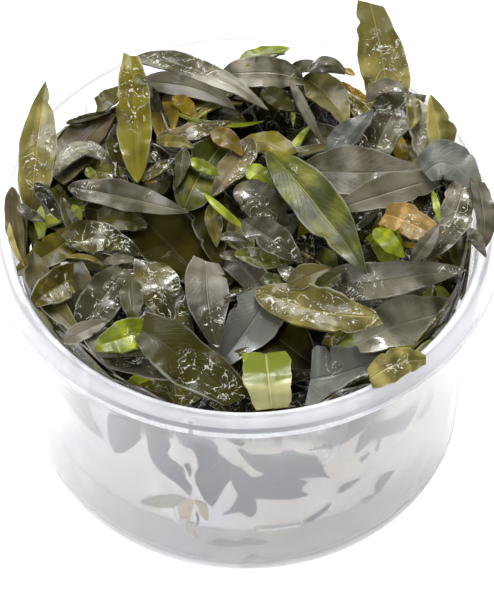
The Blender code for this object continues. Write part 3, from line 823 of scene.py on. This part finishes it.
WALL_LEAVES = [
    (((-64, 42), (-53, 35), (-42.5, 33.5)), 6.0),
    (((-32, 47), (-33.5, 38), (-34.5, 29)), 8.0),
    (((-23.5, 46), (-19.5, 37), (-12.5, 26)), 5.5),
    (((-15, 48), (-8.5, 37), (-10, 22)), 9.5),
    (((0, 41), (9.5, 35.5), (21, 32)), 11.0),
    (((31, 36), (44, 36), (57, 40)), 7.5),
]
WALL_SHAPES = [
    ((-60.5, 38.5), (-55.5, 37.5), (-50, 36), (-44.5, 34), (-40, 33.5), (-38.5, 33.5), (-39.5, 36),
     (-41.5, 38), (-42.5, 42.5), (-43.5, 44.5)),
    ((-36.5, 44), (-37, 36), (-36, 33), (-35, 31), (-32, 33), (-29.5, 36), (-28, 38), (-26.5, 40.5),
     (-26.5, 43), (-26, 46.5)),
    ((-25.5, 46.5), (-25, 40.5), (-25, 38), (-24.5, 35.5), (-23.5, 33.5), (-22, 31.5), (-20, 30.5),
     (-17.5, 29), (-14, 25.5), (-13.5, 28.5), (-15, 31), (-15.5, 34.5), (-17, 36), (-19, 37), (-19.5, 39),
     (-18.5, 41.5), (-19, 43.5), (-20.5, 46), (-21.5, 47)),
    ((-17.5, 47), (-15.5, 43), (-13.5, 42.5), (-12.5, 41), (-12, 36.5), (-13, 34), (-13, 31.5), (-12.5, 30),
     (-10.5, 25), (-8.5, 23), (-7, 25.5), (-5.5, 29.5), (-4, 32.5), (-2.5, 34), (-1.5, 37.5), (-3, 38.5),
     (-4.5, 40), (-6.5, 42), (-6.5, 44), (-8, 46), (-10, 47), (-14, 47)),
    ((-2, 44), (-0.5, 41), (1, 38.5), (2.5, 36.5), (4.5, 35.5), (4, 34.5), (1.5, 34), (0, 36), (-1.5, 38),
     (-3.5, 34.5), (-3.5, 31.5), (-2, 28), (-3, 25), (-4, 22.5), (-6, 20.5), (-1.5, 22), (0, 20.5),
     (1.5, 20), (3, 22), (3, 25), (2.5, 26.5), (8.5, 25.5), (12.5, 25), (16.5, 25.5), (14.5, 27),
     (14.5, 29), (16, 30), (12.5, 32.5), (20, 30.5), (22, 29), (20.5, 31.5), (20, 34.5), (18.5, 38),
     (13, 41), (12, 42), (9.5, 42.5), (9, 41.5), (1, 42), (-0.5, 43.5)),
    ((29.5, 40), (31, 41.5), (35, 41.5), (39, 40), (44.5, 39), (49, 39), (48, 35), (44, 32), (41, 33.5),
     (37.5, 38.5), (35.5, 38), (33, 36.5), (30, 35), (28.5, 34.5), (29, 36.5)),
]
WALL_SCRAPS = [
    ((15.5, 41), (17.5, 41), (21, 40), (25, 40), (29, 41.5), (32.5, 42.5), (31, 43.5), (27, 42.5), (23, 42),
     (19, 41.5)),
    ((34.5, 32), (35.5, 34.5), (36, 37.5), (37, 36.5), (36, 33.5), (35.5, 31)),
    ((30, 31.5), (31.5, 32), (33, 32.5), (32.5, 31.5), (30.5, 30.5)),
    ((24, 23), (25, 24.5), (27, 25), (31, 24.5), (29.5, 24), (27.5, 23), (25.5, 22.5)),
    ((36, 15.5), (35.5, 18), (36.5, 20.5), (39, 21), (43, 19.5), (41, 18.5), (38.5, 16.5), (37.5, 15)),
    ((31.5, 16), (33, 16.5), (36, 15.5), (35, 14.5), (33, 14.5)),
    ((15, 16), (17.5, 17), (20.5, 18.5), (22.5, 20), (22, 18.5), (20, 17), (17.5, 15.5), (16, 15.5)),
    ((-4.5, 47), (-3, 47), (0, 46), (-1, 45), (-3, 46)),
    ((-10.5, 10), (-8, 11.5), (-6.5, 12.5), (-2.5, 11.5), (0, 13), (4.5, 12), (6, 10.5), (3.5, 10),
     (-1.5, 9.5), (-6, 9), (-9.5, 9.5)),
    ((-13, 20), (-12.5, 20), (-12, 18), (-12.5, 15), (-13, 15), (-12.5, 18)),
    ((-15.5, 36.5), (-14, 37), (-13.5, 34.5), (-14, 32), (-14.5, 34)),
    ((-17.5, 29), (-15.5, 29.5), (-13.5, 29), (-14, 26), (-15.5, 27.5)),
    ((48, 33), (51.5, 34), (54.5, 37), (57, 33.5), (53.5, 31.5), (50, 31)),
]


def wall_place(turn, height, inset=0.0):
    """A point just inside the wall, at these radians round from the front."""
    radius = inner_radius(height) - GAP - BLADE - inset
    return np.array([radius * math.sin(turn), -radius * math.cos(turn), height])


def wall_grid(route, width, rows=3, columns=BLADE_STEPS + 1, inset=0.0):
    share = np.linspace(0, 1, columns)
    turn, height = along(np.array(route, float), share).T
    around = np.radians(turn) * FOOT_RADIUS
    tangent = unit(np.gradient(np.column_stack([around, height]), axis=0))
    half = half_width(share, width, (0, 1))
    lines = []
    for side in np.linspace(-1, 1, rows):
        wavy = side * half
        if rows > 3:
            wavy = wavy * (1 + 0.12 * np.sin(2 * np.pi * (2.3 * share + turn[0])))
        turned_by = (around - wavy * tangent[:, 1]) / FOOT_RADIUS
        heights = height + wavy * tangent[:, 0]
        lines.append(np.stack([wall_place(t, h, inset) for t, h in zip(turned_by, heights)]))
    return np.stack(lines)


def wall_shape(name, outline, inset=0.0):
    """A flat piece of leaf on the inside of the wall, from its outline in degrees and heights."""
    ready()
    bpy.ops.mesh.primitive_circle_add(vertices=len(outline), radius=1, fill_type="NGON")
    made = bpy.context.object
    made.name = name
    shape = bmesh.new()
    shape.from_mesh(made.data)
    shape.verts.ensure_lookup_table()
    for vert, (turn, height) in zip(shape.verts, outline):
        vert.co = (math.radians(turn) * FOOT_RADIUS, height, 0)
    bmesh.ops.triangulate(shape, faces=shape.faces)
    for _ in range(3):
        bmesh.ops.subdivide_edges(shape, edges=shape.edges, cuts=1, use_grid_fill=True)
    bmesh.ops.smooth_vert(shape, verts=shape.verts, factor=0.5, use_axis_x=True, use_axis_y=True)
    bmesh.ops.triangulate(shape, faces=shape.faces)
    for vert in shape.verts:
        vert.co = wall_place(vert.co.x / FOOT_RADIUS, vert.co.y, inset) * MM
    bmesh.ops.recalc_face_normals(shape, faces=shape.faces)
    shape.to_mesh(made.data)
    shape.free()
    for attribute, value in (("shade", 0.4), ("film", 0.0)):
        layer = made.data.attributes.new(attribute, "FLOAT", "POINT")
        layer.data.foreach_set("value", np.full(len(made.data.vertices), value))
    return thickened(made)


count = int(2 * HALF_GRID / CELL)
heap = np.full((count, count), DEEPEST)
below = bpy.data.objects["lower_leaves"].data
corners = np.array([below.vertices[index].co for face in below.polygons for index in face.vertices])
for a, b, c in (corners / MM).reshape(-1, 3, 3):
    heap = grown(heap, np.array([[a, b], [c, c]]))

GREY_BLUE = ((0.035, 0.034, 0.062), (0.060, 0.058, 0.10), (0.06, 0.06, 0.10))
TONES["shadowed"] = leaf_surface("shadowed_leaf", *GREY_BLUE, 0.5)
for number, (route, width) in enumerate(WALL_LEAVES, 1):
    heap = grown(heap, wall_grid(route, width))
    piece = wall_shape(f"blade_{number:02d}", WALL_SHAPES[number - 1])
    finished(piece, "slate", f"leaf_{number:02d}", "shadowed")
strays = [wall_shape(f"stray_{index}", outline) for index, outline in enumerate(WALL_SCRAPS)]
finished(joined("wall_strays", strays), "slate", dress="shadowed")

# Loose things at the foot of the front wall: a small green leaf, and the end of a pale yellowish root.
# They lie a little farther in than the dark leaves.

GREEN_LEAF = (
    (-29, 17), (-26.5, 19.5), (-22, 22.5), (-18, 24), (-15, 23.5), (-17, 21.5), (-19, 19), (-22.5, 17.5),
    (-26, 16.5), (-28.5, 16.5),
)
ROOTS = [
    ((-18, 20.5), (-16, 22.5), (-14, 24), (-13.5, 22), (-14, 19), (-14.5, 16), (-16, 14.5), (-17.5, 15),
     (-18, 17.5)),
    ((-13.5, 23.5), (-12, 23.5), (-10, 22.5), (-9.5, 19.5), (-10, 16.5), (-11.5, 18), (-12.5, 21)),
    ((-16, 13.5), (-14.5, 15), (-13, 13.5), (-12, 10.5), (-13.5, 11), (-15.5, 12)),
]
FARTHER_IN = 0.5
ROOT_FLESH = ((0.80, 0.58, 0.16), (0.92, 0.74, 0.32), (0.9, 0.7, 0.2))
TONES["root"] = leaf_surface("root_flesh", *ROOT_FLESH, 0.5)
finished(wall_shape("foot_leaf", GREEN_LEAF, FARTHER_IN), "fresh", dress="lime")
roots = [wall_shape(f"root_{index}", outline, FARTHER_IN) for index, outline in enumerate(ROOTS)]
finished(joined("foot_roots", roots), "tan", dress="root")

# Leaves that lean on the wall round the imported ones, except at the front. At the sides they reach
# nearly to the rim.

SIDE_BLADES = 110
FRONT_ENDS = 24  # degrees from the front to the first of them
FRONT_SIDES = 84  # degrees from the front to where they get wider and lower

chance = np.random.default_rng(23)
leaning = {}
for index in range(SIDE_BLADES):
    turn = FRONT_ENDS + (360 - 2 * FRONT_ENDS) * (index + chance.uniform()) / SIDE_BLADES
    aside = min(turn, 360 - turn)
    near_front = aside < FRONT_SIDES
    low, high = (50, 54) if near_front else (44, 52) if aside < 125 else (41, 48)
    height, slope = chance.uniform(low, high), chance.normal(0, 1.5 if near_front else 3)
    reach = math.degrees(chance.uniform(6, 11) / FOOT_RADIUS)
    middle = (turn, height + chance.uniform(0, 2))
    route = ((turn - reach, height - slope), middle, (turn + reach, height + slope))
    width = chance.uniform(3.5, 5.5) if near_front else chance.uniform(5, 8.5)
    points = wall_grid(route, width, *SMALL, chance.uniform(0, 1.6))
    tone = chance.choice(("dark", "slate", "olive", "fresh"), p=(0.4, 0.3, 0.2, 0.1))
    shade = patches(index + 300, *SMALL)
    piece = blade_object(f"leaning_{index}", points, shade, chance.uniform(0, 0.6))
    leaning.setdefault(tone, []).append(piece)
for tone, pieces in leaning.items():
    finished(joined("leaning_leaves_" + tone, pieces), tone)

# The heap: loose leaves of many tones, some whole and some cut or torn, laid over one another by hand
# until the cup was full. A few stand up past its rim, and some hang over it.

PLAIN = {"faces": (25, 0), "twist": 0, "fold": 12, "cut": (0, 1), "ends": (0, 0), "least": 0}
PLAIN |= {"spots": (), "wave": 1, "dress": None, "shade": 0, "halves": 0, "fade": 0, "small": False}


def leaf(base, middle, tip, width, tone, **details):
    """A leaf of the heap. base, middle and tip are points of its midrib: where it shows on LEVEL, and
    how much higher than its lowest part it stands there, if it does. faces is how far the blade is
    turned from the line of sight, upwards and to the right, in degrees, and 39 upwards is level. cut
    is the stretch of the whole blade that is there, as shares from base to tip, and ends is how
    slanted it is cut there, in degrees. least is the height that all of it stays above, as where it
    lies over the rim. spots are the places of broken water, which carry painted glints, and dress is
    another tone's colours. shade lightens all of it, halves one side of its midrib, as painted shade
    across the fold, and fade its tip, and each darkens what is opposite. Nothing else of the heap
    lies on a small one."""
    midrib = np.array([(*point, 0)[:3] for point in (base, middle, tip)], float)
    return {"midrib": midrib, "width": width, "tone": tone, **PLAIN, **details}


def scrap(*places, **details):
    return leaf(*places, small=True, **details)


HEAP = [
    # the floors of the hollows
    leaf((-31, 4), (-21, 0.5, 1), (-10, -4), 11, "olive", dress="deep", shade=-0.1),
    leaf((-23, 5), (-14, -6, 1), (-6, -18), 12, "dark", dress="deep"),
    leaf((-8.5, 9, 1), (-6.5, 0), (-5, -11), 8, "olive", faces=(5, -10), dress="deep", shade=0.3),
    leaf((11.5, 37.5, 3), (16.5, 32.5, 1), (20, 24), 7.5, "olive", faces=(5, 25), wave=0.5, dress="straw",
         shade=-0.35),
    leaf((-12, 3), (-8.5, 13), (-2.5, 23, 1), 10, "fresh", faces=(5, 10), shade=-0.15),
    leaf((-1, -19), (6, -28, 1), (14, -35), 12, "dark", dress="deep", shade=-0.3),
    # the back
    leaf((-1.5, 41.5), (3.5, 43.5, 1), (9, 45.5, 2), 4, "lime", faces=(30, 0)),
    scrap((8, 39.5), (14, 40.5, 1), (20, 38.5), 2.8, "dark", shade=0.5),
    scrap((0, 40.5), (3.5, 43, 1), (8, 44, 1), 1.2, "fresh"),
    leaf((-5, 38), (3.5, 39, 2), (11.5, 37), 7, "lilac", faces=(20, 0), cut=(0, 0.9), ends=(0, -20),
         spots=(0.95, 0, 0.2, 0.6), wave=0.7, dress="silver"),
    scrap((12.5, 39), (16.5, 42, 1), (20.5, 38.5), 2, "lilac", wave=1.5),
    scrap((20, 40), (21, 39), (22, 38.5), 1.4, "amber"),
    leaf((-21.5, 36, 1), (-11, 35, 2), (-2, 29), 5.5, "lilac", wave=0.5, shade=0.3),
    scrap((3.5, 34.5), (6.5, 31.5), (10, 28.5), 4.4, "dark", shade=0.6),
    scrap((9, 36.5, 1), (12, 28.5, 2), (16, 18.5), 2.2, "lilac", wave=0.6),
    scrap((9.5, 29.5), (9.5, 27.5), (9.5, 24.5), 1, "lime"),
    scrap((-18.5, 35), (-18, 28.5), (-17, 22), 3.2, "dark", shade=0.5),
    scrap((-14.5, 32.5), (-12, 30), (-9.5, 26.5), 3.4, "amber"),
    scrap((-17.5, 20.5), (-13.5, 20.5), (-10, 19), 2.8, "olive"),
    scrap((-7, 23), (-3.5, 21), (-0.5, 17), 4, "amber", shade=-0.3),
    leaf((-17.5, 21.5, 1), (-10.5, 23, 2), (-3, 26, 1), 4, "lilac", faces=(30, 0), spots=(0.7, 0, 0.5, 0.7),
         wave=1.4, dress="brown", shade=0.2),
    scrap((-11, 16), (-8, 14), (-5, 12), 2.8, "lime", shade=-0.3),
    leaf((1, 21.5, 1), (-2, 14.5, 1), (-6.5, 6.5), 6, "slate", faces=(15, -10), spots=(0.6, 0.9, 0.4, 0.8),
         dress="brown", shade=0.2),
    scrap((-12, 19), (-12.5, 14), (-13.5, 8.5), 3, "dark", shade=0.6),
    leaf((-37.5, 11.5), (-33, 19.5, 1), (-26.5, 28, 2), 9.5, "lilac", faces=(10, -20), cut=(0.15, 0.95),
         ends=(20, -25), wave=0.4, dress="brown", shade=-0.3),
    scrap((-35.5, 25.5), (-31, 27, 1), (-26, 28.5), 1.6, "dark"),
    leaf((-37.5, 11.5), (-32, 18.5, 3), (-25.5, 14), 4.5, "lilac", faces=(45, 0), spots=(0.5, 0, 0.6, 1.4),
         wave=0.7, dress="silver", shade=0.1),
    scrap((-31, 14), (-30, 12), (-28.5, 9.5), 2, "fresh"),
    # its lighter tip half is a painted highlight, and its pale grey dress painted sheen
    leaf((-22.5, 42.5), (-9.5, 39.5, 3), (4.5, 29), 5.5, "slate", faces=(35, 0),
         spots=((0.3, 0, 0.3, 0.9), (0.5, 0.5, 0.12, 0.9)), wave=0.6, dress="silver", shade=-0.25,
         fade=0.35),
    scrap((-29.5, 30), (-27, 32, 1), (-24.5, 35), 4, "slate", cut=(0.2, 0.9), shade=0.5),
    leaf((-21, 10), (-22, 27, 1), (-23, 43.5, 3), 7, "olive", faces=(0, 0), cut=(0, 0.86), ends=(0, 20),
         spots=(0.78, 0, 0.3, 1.5), wave=1.5, shade=0.2),
    leaf((-41.5, 2), (-41, 18.5, 6), (-40, 36.5, 13), 7.5, "straw", faces=(-15, 10), fold=16, least=59.8,
         spots=(0.4, -0.2, 0.25, 0.9), wave=0.6, shade=-0.45, halves=0.15),
    leaf((28.5, 28.5), (27.5, 43, 11), (25.5, 58, 20), 9.5, "straw", faces=(-20, 5), cut=(0.12, 0.84),
         ends=(-15, 28), spots=((0.5, -0.2, 0.2, 1.6), (0.22, 0.3, 0.2, 1.6)), wave=0.6, fade=-0.3),
    leaf((33.5, 33.5, 1), (28, 25, 1), (25, 15), 8.5, "slate", faces=(15, -5), cut=(0.1, 0.92),
         ends=(-25, 20), spots=(0.5, 0, 0.6, 1.2), wave=1.6, dress="silver", shade=-0.25),
    leaf((33.5, 32), (34.5, 23, 1), (35, 14), 6, "slate", faces=(10, 25), cut=(0.1, 1),
         spots=(0.7, 0, 0.4, 1.2), wave=1.4, dress="silver", shade=0.15),
    scrap((32.5, 32.5), (33.5, 28.5), (32.5, 23.5), 3.2, "olive", shade=-0.3),
    leaf((16, 17), (20.5, 22.5, 2), (25.5, 29, 1), 6, "lilac", faces=(25, -25), spots=(0.3, 0, 0.2, 0.5),
         wave=0.5, dress="teal"),
    scrap((24, 31), (28, 35, 1), (32.5, 33.5), 3.4, "lilac", spots=(0.6, -0.8, 0.4, 0.9), wave=0.8),
    leaf((38.5, 16), (38, 24, 5), (37, 33, 10), 6, "straw", faces=(-15, 25), fold=25, wave=0.5, shade=0.1,
         halves=0.5),
    leaf((10.5, 14), (22, 12.5, 2), (35, 14), 11, "slate", faces=(32, 0), wave=0.35, dress="lilac",
         shade=0.2),
    leaf((18, 3.5), (27.5, 7.5, 1), (37.5, 11, 1), 6.5, "lilac", faces=(20, 0), cut=(0, 0.82), wave=0.6,
         shade=0.6),
    leaf((35, 12.5), (40.5, 14.5, 2), (45, 6), 9, "lilac", faces=(30, 10), cut=(0.1, 0.92), least=59.6,
         wave=0.5, dress="teal", shade=0.3),
    leaf((42.5, 9), (39.5, 0, 1), (34, -10), 7, "slate", faces=(10, 10), cut=(0.12, 1),
         spots=(0.5, 0, 0.6, 1.2), wave=1.3, dress="silver", shade=-0.2, halves=-0.25),
    leaf((45, 10.5), (46, 2, 1), (45, -6), 5, "lilac", faces=(15, 30), cut=(0.1, 0.9), ends=(20, 20),
         least=59.6, wave=0.8),
    scrap((36.5, 8), (37, 4), (37.5, 0), 1.4, "lime"),
    leaf((25, -2), (27.5, -5.5, 1), (28, -11), 6, "fresh", faces=(10, -20), cut=(0.15, 0.85),
         ends=(25, -25), wave=0.7, dress="lime", shade=0.1),
    leaf((27, 2), (31.5, 0, 1), (36.5, -3.5), 6.5, "tan", faces=(15, 10), cut=(0.12, 0.82), ends=(0, 25),
         spots=(0.5, 0, 0.4, 0.6), wave=0.6, shade=-0.45),
    # the left
    leaf((-45.5, 9), (-44.5, -0.5), (-42, -12), 4, "olive", faces=(5, -20), least=59.6, wave=0.8,
         dress="brown"),
    scrap((31.5, -10), (34.5, -5.5, 1), (37.5, 0), 3.2, "lilac", wave=0.6),
    scrap((43, -1.5), (44.5, -4.5), (46, -8.5), 2.4, "lilac"),
    scrap((25, -1.5), (27.5, -5, 1), (30.5, -8.5), 4, "lime", wave=0.6, shade=-0.1),
    scrap((-45.5, 0), (-44.5, -5.5), (-42, -11), 1.2, "straw"),
    scrap((-41, 10), (-38.5, 6), (-36, 1), 3, "dark", spots=(0.5, 0, 0.6, 0.9)),
    scrap((-44, 5), (-41.5, 2), (-38.5, 0.5), 2.2, "lilac", shade=-0.3),
    scrap((-33.5, 4.5), (-32.5, 2.5), (-31.5, 0), 1.6, "lime", shade=-0.2),
    scrap((-28.5, 0.5), (-24, 0.5), (-19, -1), 5.6, "olive", cut=(0.2, 0.95), shade=-0.6),
    scrap((-20, 10.5), (-17, 13.5, 1), (-13.5, 16.5), 2.6, "slate", spots=(0.5, 0, 0.6, 1.3)),
    leaf((-34.5, 9), (-23.5, 6.5, 2), (-11, 2.5), 6, "lilac", faces=(15, 0),
         spots=((0.12, 0, 0.15, 0.9), (0.75, 0.5, 0.12, 0.7)), wave=0.9),
    scrap((-32, -14), (-34, -21, 1), (-33, -28), 1, "amber"),
    leaf((-32, -2, 1), (-37, -7), (-43.5, -12), 6, "straw", faces=(20, 0), cut=(0.1, 0.9), ends=(0, 20),
         wave=0.5, dress="olive", shade=-0.6),
    leaf((-33.5, -5.5), (-27, -4, 1), (-19.5, -8.5), 6.5, "slate", faces=(30, 0), cut=(0.18, 1),
         ends=(-20, 0), spots=(0.5, 0, 0.6, 1.2), wave=1.4),
    scrap((-27, -10), (-24, -9, 1), (-20.5, -9.5), 2.2, "lilac", shade=0.5),
    scrap((-34.5, -8.5), (-30.5, -8.5), (-27, -10.5), 1.2, "olive"),
    leaf((-33.5, -9.5, 1), (-31.5, -18.5, 1), (-30.5, -27), 6, "lilac", faces=(15, 0), cut=(0.1, 0.95),
         wave=0.4, dress="slate", shade=-0.1),
    leaf((-30.5, -26.5), (-27, -18.5, 1), (-21.5, -9.5, 1), 8, "slate", faces=(25, 10), cut=(0.1, 0.9),
         ends=(15, -25), spots=((0.35, 0.3, 0.2, 1), (0.75, -0.6, 0.35, 1.3)), wave=0.9, dress="lilac",
         shade=-0.5),
    leaf((-43.5, -9.5), (-40.5, -20), (-33, -30), 5.5, "slate", faces=(20, 10), wave=0.5, shade=0.1),
    leaf((-33, -14), (-36.5, -16, 1), (-40, -19.5), 6.5, "straw", faces=(15, 20), fold=24, cut=(0.2, 0.9),
         ends=(20, 0), spots=(0.4, 0, 0.4, 0.7), wave=0.8, dress="olive", shade=-0.5),
    scrap((-4.5, -34.5), (-2, -32), (1, -30), 1.8, "slate", spots=(0.5, 0, 0.6, 1)),
    scrap((-22, -13.5), (-21.5, -19), (-21, -25), 4.4, "dark", wave=0.4, shade=0.5),
    leaf((-18.5, -9.5, 1), (-15, -19, 1), (-10, -28.5), 8, "slate", faces=(20, 0), cut=(0.12, 0.97),
         ends=(30, 0), spots=(0.45, 0.2, 0.6, 1.2), wave=1.2),
    leaf((-34, -29), (-26, -37), (-14.5, -42), 6.5, "dark", faces=(20, 0), spots=(0.6, 0, 0.5, 0.5),
         wave=1.2, dress="lilac", shade=0.3),
    leaf((5, -16.5, 1), (1, -24.5, 1), (-5.5, -35), 10, "slate", faces=(15, 5), cut=(0.12, 0.97),
         ends=(-25, 0), wave=0.3, dress="teal", shade=0.5),
    leaf((-7.5, -9.5, 2), (-7, -20, 1), (-5, -31.5), 8, "slate", faces=(15, 0), cut=(0.14, 1), ends=(20, 0),
         spots=(0.75, 0.2, 0.2, 1.4), wave=0.4, dress="lilac", shade=-0.35, fade=-0.3),
    scrap((-34, -29), (-30, -26, 1), (-26, -24), 3.8, "lilac", wave=0.6, shade=0.6),
    leaf((-19, -26.5), (-23.5, -28, 1), (-28, -30), 6.5, "straw", cut=(0.25, 0.92), ends=(20, 0),
         spots=(0.3, 0, 0.2, 0.5), wave=0.6, dress="lime", shade=-0.3, fade=-0.2),
    scrap((-27, -32.5), (-21.5, -33.5), (-15.5, -31), 2, "dark", spots=(0.5, 0, 0.6, 1), wave=1.8),
    leaf((-19.5, -26, 1), (-10.5, -33.5, 1), (-1.5, -42.5), 10, "dark", faces=(20, 5), cut=(0.12, 0.82),
         ends=(-20, 25), spots=(0.8, 0, 0.4, 0.8), wave=0.8, shade=0.5),
    # the middle and the right
    scrap((-5.5, -4), (-2.5, -3.5), (1, -5), 2, "lilac"),
    scrap((-5, -8), (-2, -8.5), (1.5, -9.5), 2, "lilac"),
    scrap((-4, -18.5), (-1.5, -17), (2, -15.5), 1, "slate", spots=(0.5, 0, 0.6, 1)),
    scrap((-6.5, 5), (-6, 0), (-5.5, -6), 3.4, "olive", shade=-0.1),
    scrap((0, 14), (3, 11.5), (6, 8), 4.4, "lime", shade=-0.2),
    leaf((-1.5, 9.5), (3, 5, 1), (8.5, -0.5), 7.5, "slate", faces=(20, 0), spots=(0.4, -0.4, 0.4, 1.1),
         dress="lilac", shade=-0.2),
    scrap((-8, 7.5), (-4, 2.5, 1), (1.5, -3), 1.6, "lime", wave=0.5, shade=0.4),
    leaf((-0.5, 0.5), (5, -4, 1), (11, -10), 6.5, "slate", spots=(0.8, 0.2, 0.3, 1.2), wave=0.8,
         dress="lilac", shade=-0.5),
    scrap((15.5, -29), (19, -28.5, 1), (23, -27), 3.8, "lime", wave=0.3),
    leaf((12, -37.5), (19.5, -35.5, 1), (28, -31), 11, "slate", faces=(15, 0), cut=(0.28, 0.9),
         ends=(10, -20), spots=(0.3, 0.3, 0.15, 0.6), wave=0.5, dress="teal", shade=0.9),
    scrap((35.5, -18.5), (38.5, -20), (41.5, -23), 5, "fresh", wave=0.5, shade=0.4),
    leaf((21, -29.5), (30, -24.5, 2), (38.5, -22), 9.5, "slate", cut=(0.06, 0.8), ends=(0, 25),
         spots=(0.3, -0.8, 0.3, 0.6), wave=0.5, dress="silver", shade=0.05),
    scrap((27, -31.5), (30, -30.5), (33.5, -29.5), 1.4, "fresh", shade=0.4),
    leaf((24, -38.5), (29, -35), (34.5, -34), 6, "straw", faces=(10, -5), cut=(0.1, 0.92), ends=(25, 0),
         least=59.6, spots=(0.5, 0, 0.3, 0.9), wave=0.9, shade=-0.1),
    scrap((19, -13), (20, -16.5), (21.5, -21), 3.6, "lilac", wave=0.5, shade=0.6),
    leaf((18.5, -16.5), (31, -14, 2), (43.5, -12), 8, "slate", cut=(0.25, 1), ends=(-10, 0),
         spots=((0.15, 0, 0.2, 1.3), (0.9, 0, 0.12, 1)), wave=0.8, dress="lilac", shade=0.2),
    scrap((4.5, -12.5), (7.5, -11.5), (10, -12.5), 2, "lilac", shade=0.5),
    scrap((3, -14.5), (5, -14), (7.5, -14.5), 2.8, "fresh", shade=-0.5),
    scrap((8, -15.5), (12, -13, 1), (16.5, -11), 4.8, "slate", wave=0.5, shade=0.6),
    scrap((13.5, -17), (15.5, -14.5), (18.5, -12), 3.6, "dark", shade=0.8),
    leaf((2, -16.5), (12.5, -21, 2), (25, -23), 9, "straw", cut=(0, 0.9), ends=(0, -25),
         spots=((0.35, 0, 0.4, 1), (0.85, 0, 0.3, 1.5)), wave=1.1, shade=-0.5),
    scrap((-0.5, -33), (3.5, -33), (7.5, -34.5), 2.6, "lime", cut=(0.2, 0.95), wave=0.3),
    leaf((4, -33), (4.5, -39, 2), (5, -45.5), 9, "fresh", faces=(10, 0), fold=4, cut=(0.2, 0.75), wave=0.3,
         dress="pale", shade=-0.25, fade=0.4),
    leaf((4.5, 18), (14, 4, 2), (23, -12.5), 9.5, "fresh", faces=(15, 5), spots=(0.2, 0.3, 0.2, 0.3),
         wave=0.35, shade=-0.15),
]

number = len(WALL_LEAVES)
scraps = {}
bed = heap.copy()
covered = np.full_like(heap, -np.inf)
for seed, one in enumerate(HEAP):
    one["seed"] = seed
    grid, forward = settled(one, heap)
    rows, columns = SMALL if one["small"] else LARGE
    shade = patches(seed, rows, columns) + one["shade"]
    # one half of the blade lighter than the other: painted shade across the fold
    shade = shade + one["halves"] * np.tanh(6 * np.linspace(-1, 1, rows))[:, None]
    shade = shade + one["fade"] * np.tanh(5 * np.linspace(-1, 1, columns))
    points = laid(one, forward, rows, columns)
    film = beading(one["spots"], rows, columns)
    if one["small"]:
        scraps.setdefault(one["tone"], []).append(blade_object(f"scrap_{seed}", points, shade, film))
        continue
    number += 1
    heap = grown(heap, grid)
    covered = grown(covered, grid, -1)
    piece = blade_object(f"blade_{number:02d}", points, shade, film)
    finished(piece, one["tone"], f"leaf_{number:02d}", one["dress"])

# More small leaves and stalks, which show in the gaps between those and stay under them. Near the wall,
# where nothing else is under them, they lie a little below the rim.

FILLERS = 420
RIM_DEPTH = -8.0
FILLED_RADIUS = 43.0
LEAST_BARE = 20  # cells of the grid, below which no more is tried
LEAST_SEEN = 0.25  # of a filler, past the leaves over it
STALK_SHARE = 0.12
FINER_BELOW = 4  # points tested along each facet of a filler
SHARES = {"dark": 0.34, "olive": 0.23, "slate": 0.18, "fresh": 0.08, "amber": 0.04}
SHARES |= {"lilac": 0.05, "straw": 0.03, "lime": 0.05}
STALKS = ("lime", "straw", "amber")
OPEN = [((8, 27), (12, 9)), ((9.5, -35), (4, 7))]  # gaps that stay open: centres and half sizes
CUTS = ((0, 1), (0.15, 1), (0, 0.85), (0.2, 0.85))

chance = np.random.default_rng(8)
spots = (np.indices(heap.shape) + 0.5) * CELL - HALF_GRID
inside = np.hypot(*spots) < FILLED_RADIUS
for centre, size in OPEN:
    inside &= np.hypot(*((spots[axis] - centre[axis]) / size[axis] for axis in (0, 1))) > 1
free = inside & (covered == -np.inf)
bed[inside] = np.maximum(bed[inside], RIM_DEPTH)
for seed in range(len(HEAP), len(HEAP) + FILLERS):
    bare = np.argwhere(free & (heap == DEEPEST) if seed % 3 == 0 else free)
    if len(bare) < LEAST_BARE:
        continue
    centre = (chance.choice(bare) + 0.5) * CELL - HALF_GRID
    heading, length = chance.uniform(0, 2 * math.pi), chance.uniform(8, 19)
    stalk = chance.uniform() < STALK_SHARE
    if np.hypot(*centre) > ALONG_RIM:
        heading = math.atan2(centre[0], -centre[1]) + chance.normal(0, 0.4)
        length = chance.uniform(7, 13)
    way = np.array([math.cos(heading), math.sin(heading)]) * length / 2
    bend = np.array([-way[1], way[0]]) * chance.normal(0, 0.25)
    width = chance.uniform(0.7, 1.2) if stalk else chance.uniform(2.5, 6.5)
    ends = chance.uniform(-30, 30, 2)
    cut = CUTS[chance.integers(len(CUTS))]
    tones, odds = (STALKS, None) if stalk else (list(SHARES), list(SHARES.values()))
    tone = chance.choice(tones, p=odds)
    rises = chance.uniform(0, 2, 3)
    places = [(*spot, rise) for spot, rise in zip((centre - way, centre + bend, centre + way), rises)]
    faces, twist, wave = chance.uniform((0, -30), (45, 30)), chance.normal(0, 25), chance.uniform(0.5, 1.3)
    one = leaf(*places, width, tone, faces=faces, twist=twist, fold=14, cut=cut, ends=ends, wave=wave)
    one["seed"] = seed
    start = blade_grid(one)
    column, row, depth = seen(sampled(start, FINER_BELOW))
    room = -covered[column, row] - depth
    if (room == np.inf).mean() < LEAST_SEEN:
        continue
    lowest = -highest(-room, *start.shape[:2], FINER_BELOW)
    forward = np.minimum(draped(start, bed), lowest - 0.5)
    forward = -gentle(-forward, start)
    grid = raised(start, forward[..., None])
    if overreach(grid)[0] > 0:
        continue
    bed = grown(bed, grid)
    column, row, _ = seen(sampled(grid))
    free[column, row] = False
    points = laid(one, forward, *SMALL)
    piece = blade_object(f"filler_{seed}", points, patches(seed, *SMALL), chance.uniform(0, 0.6))
    scraps.setdefault(str(tone), []).append(piece)

for tone, pieces in scraps.items():
    finished(joined("small_leaves_" + tone, pieces), tone)
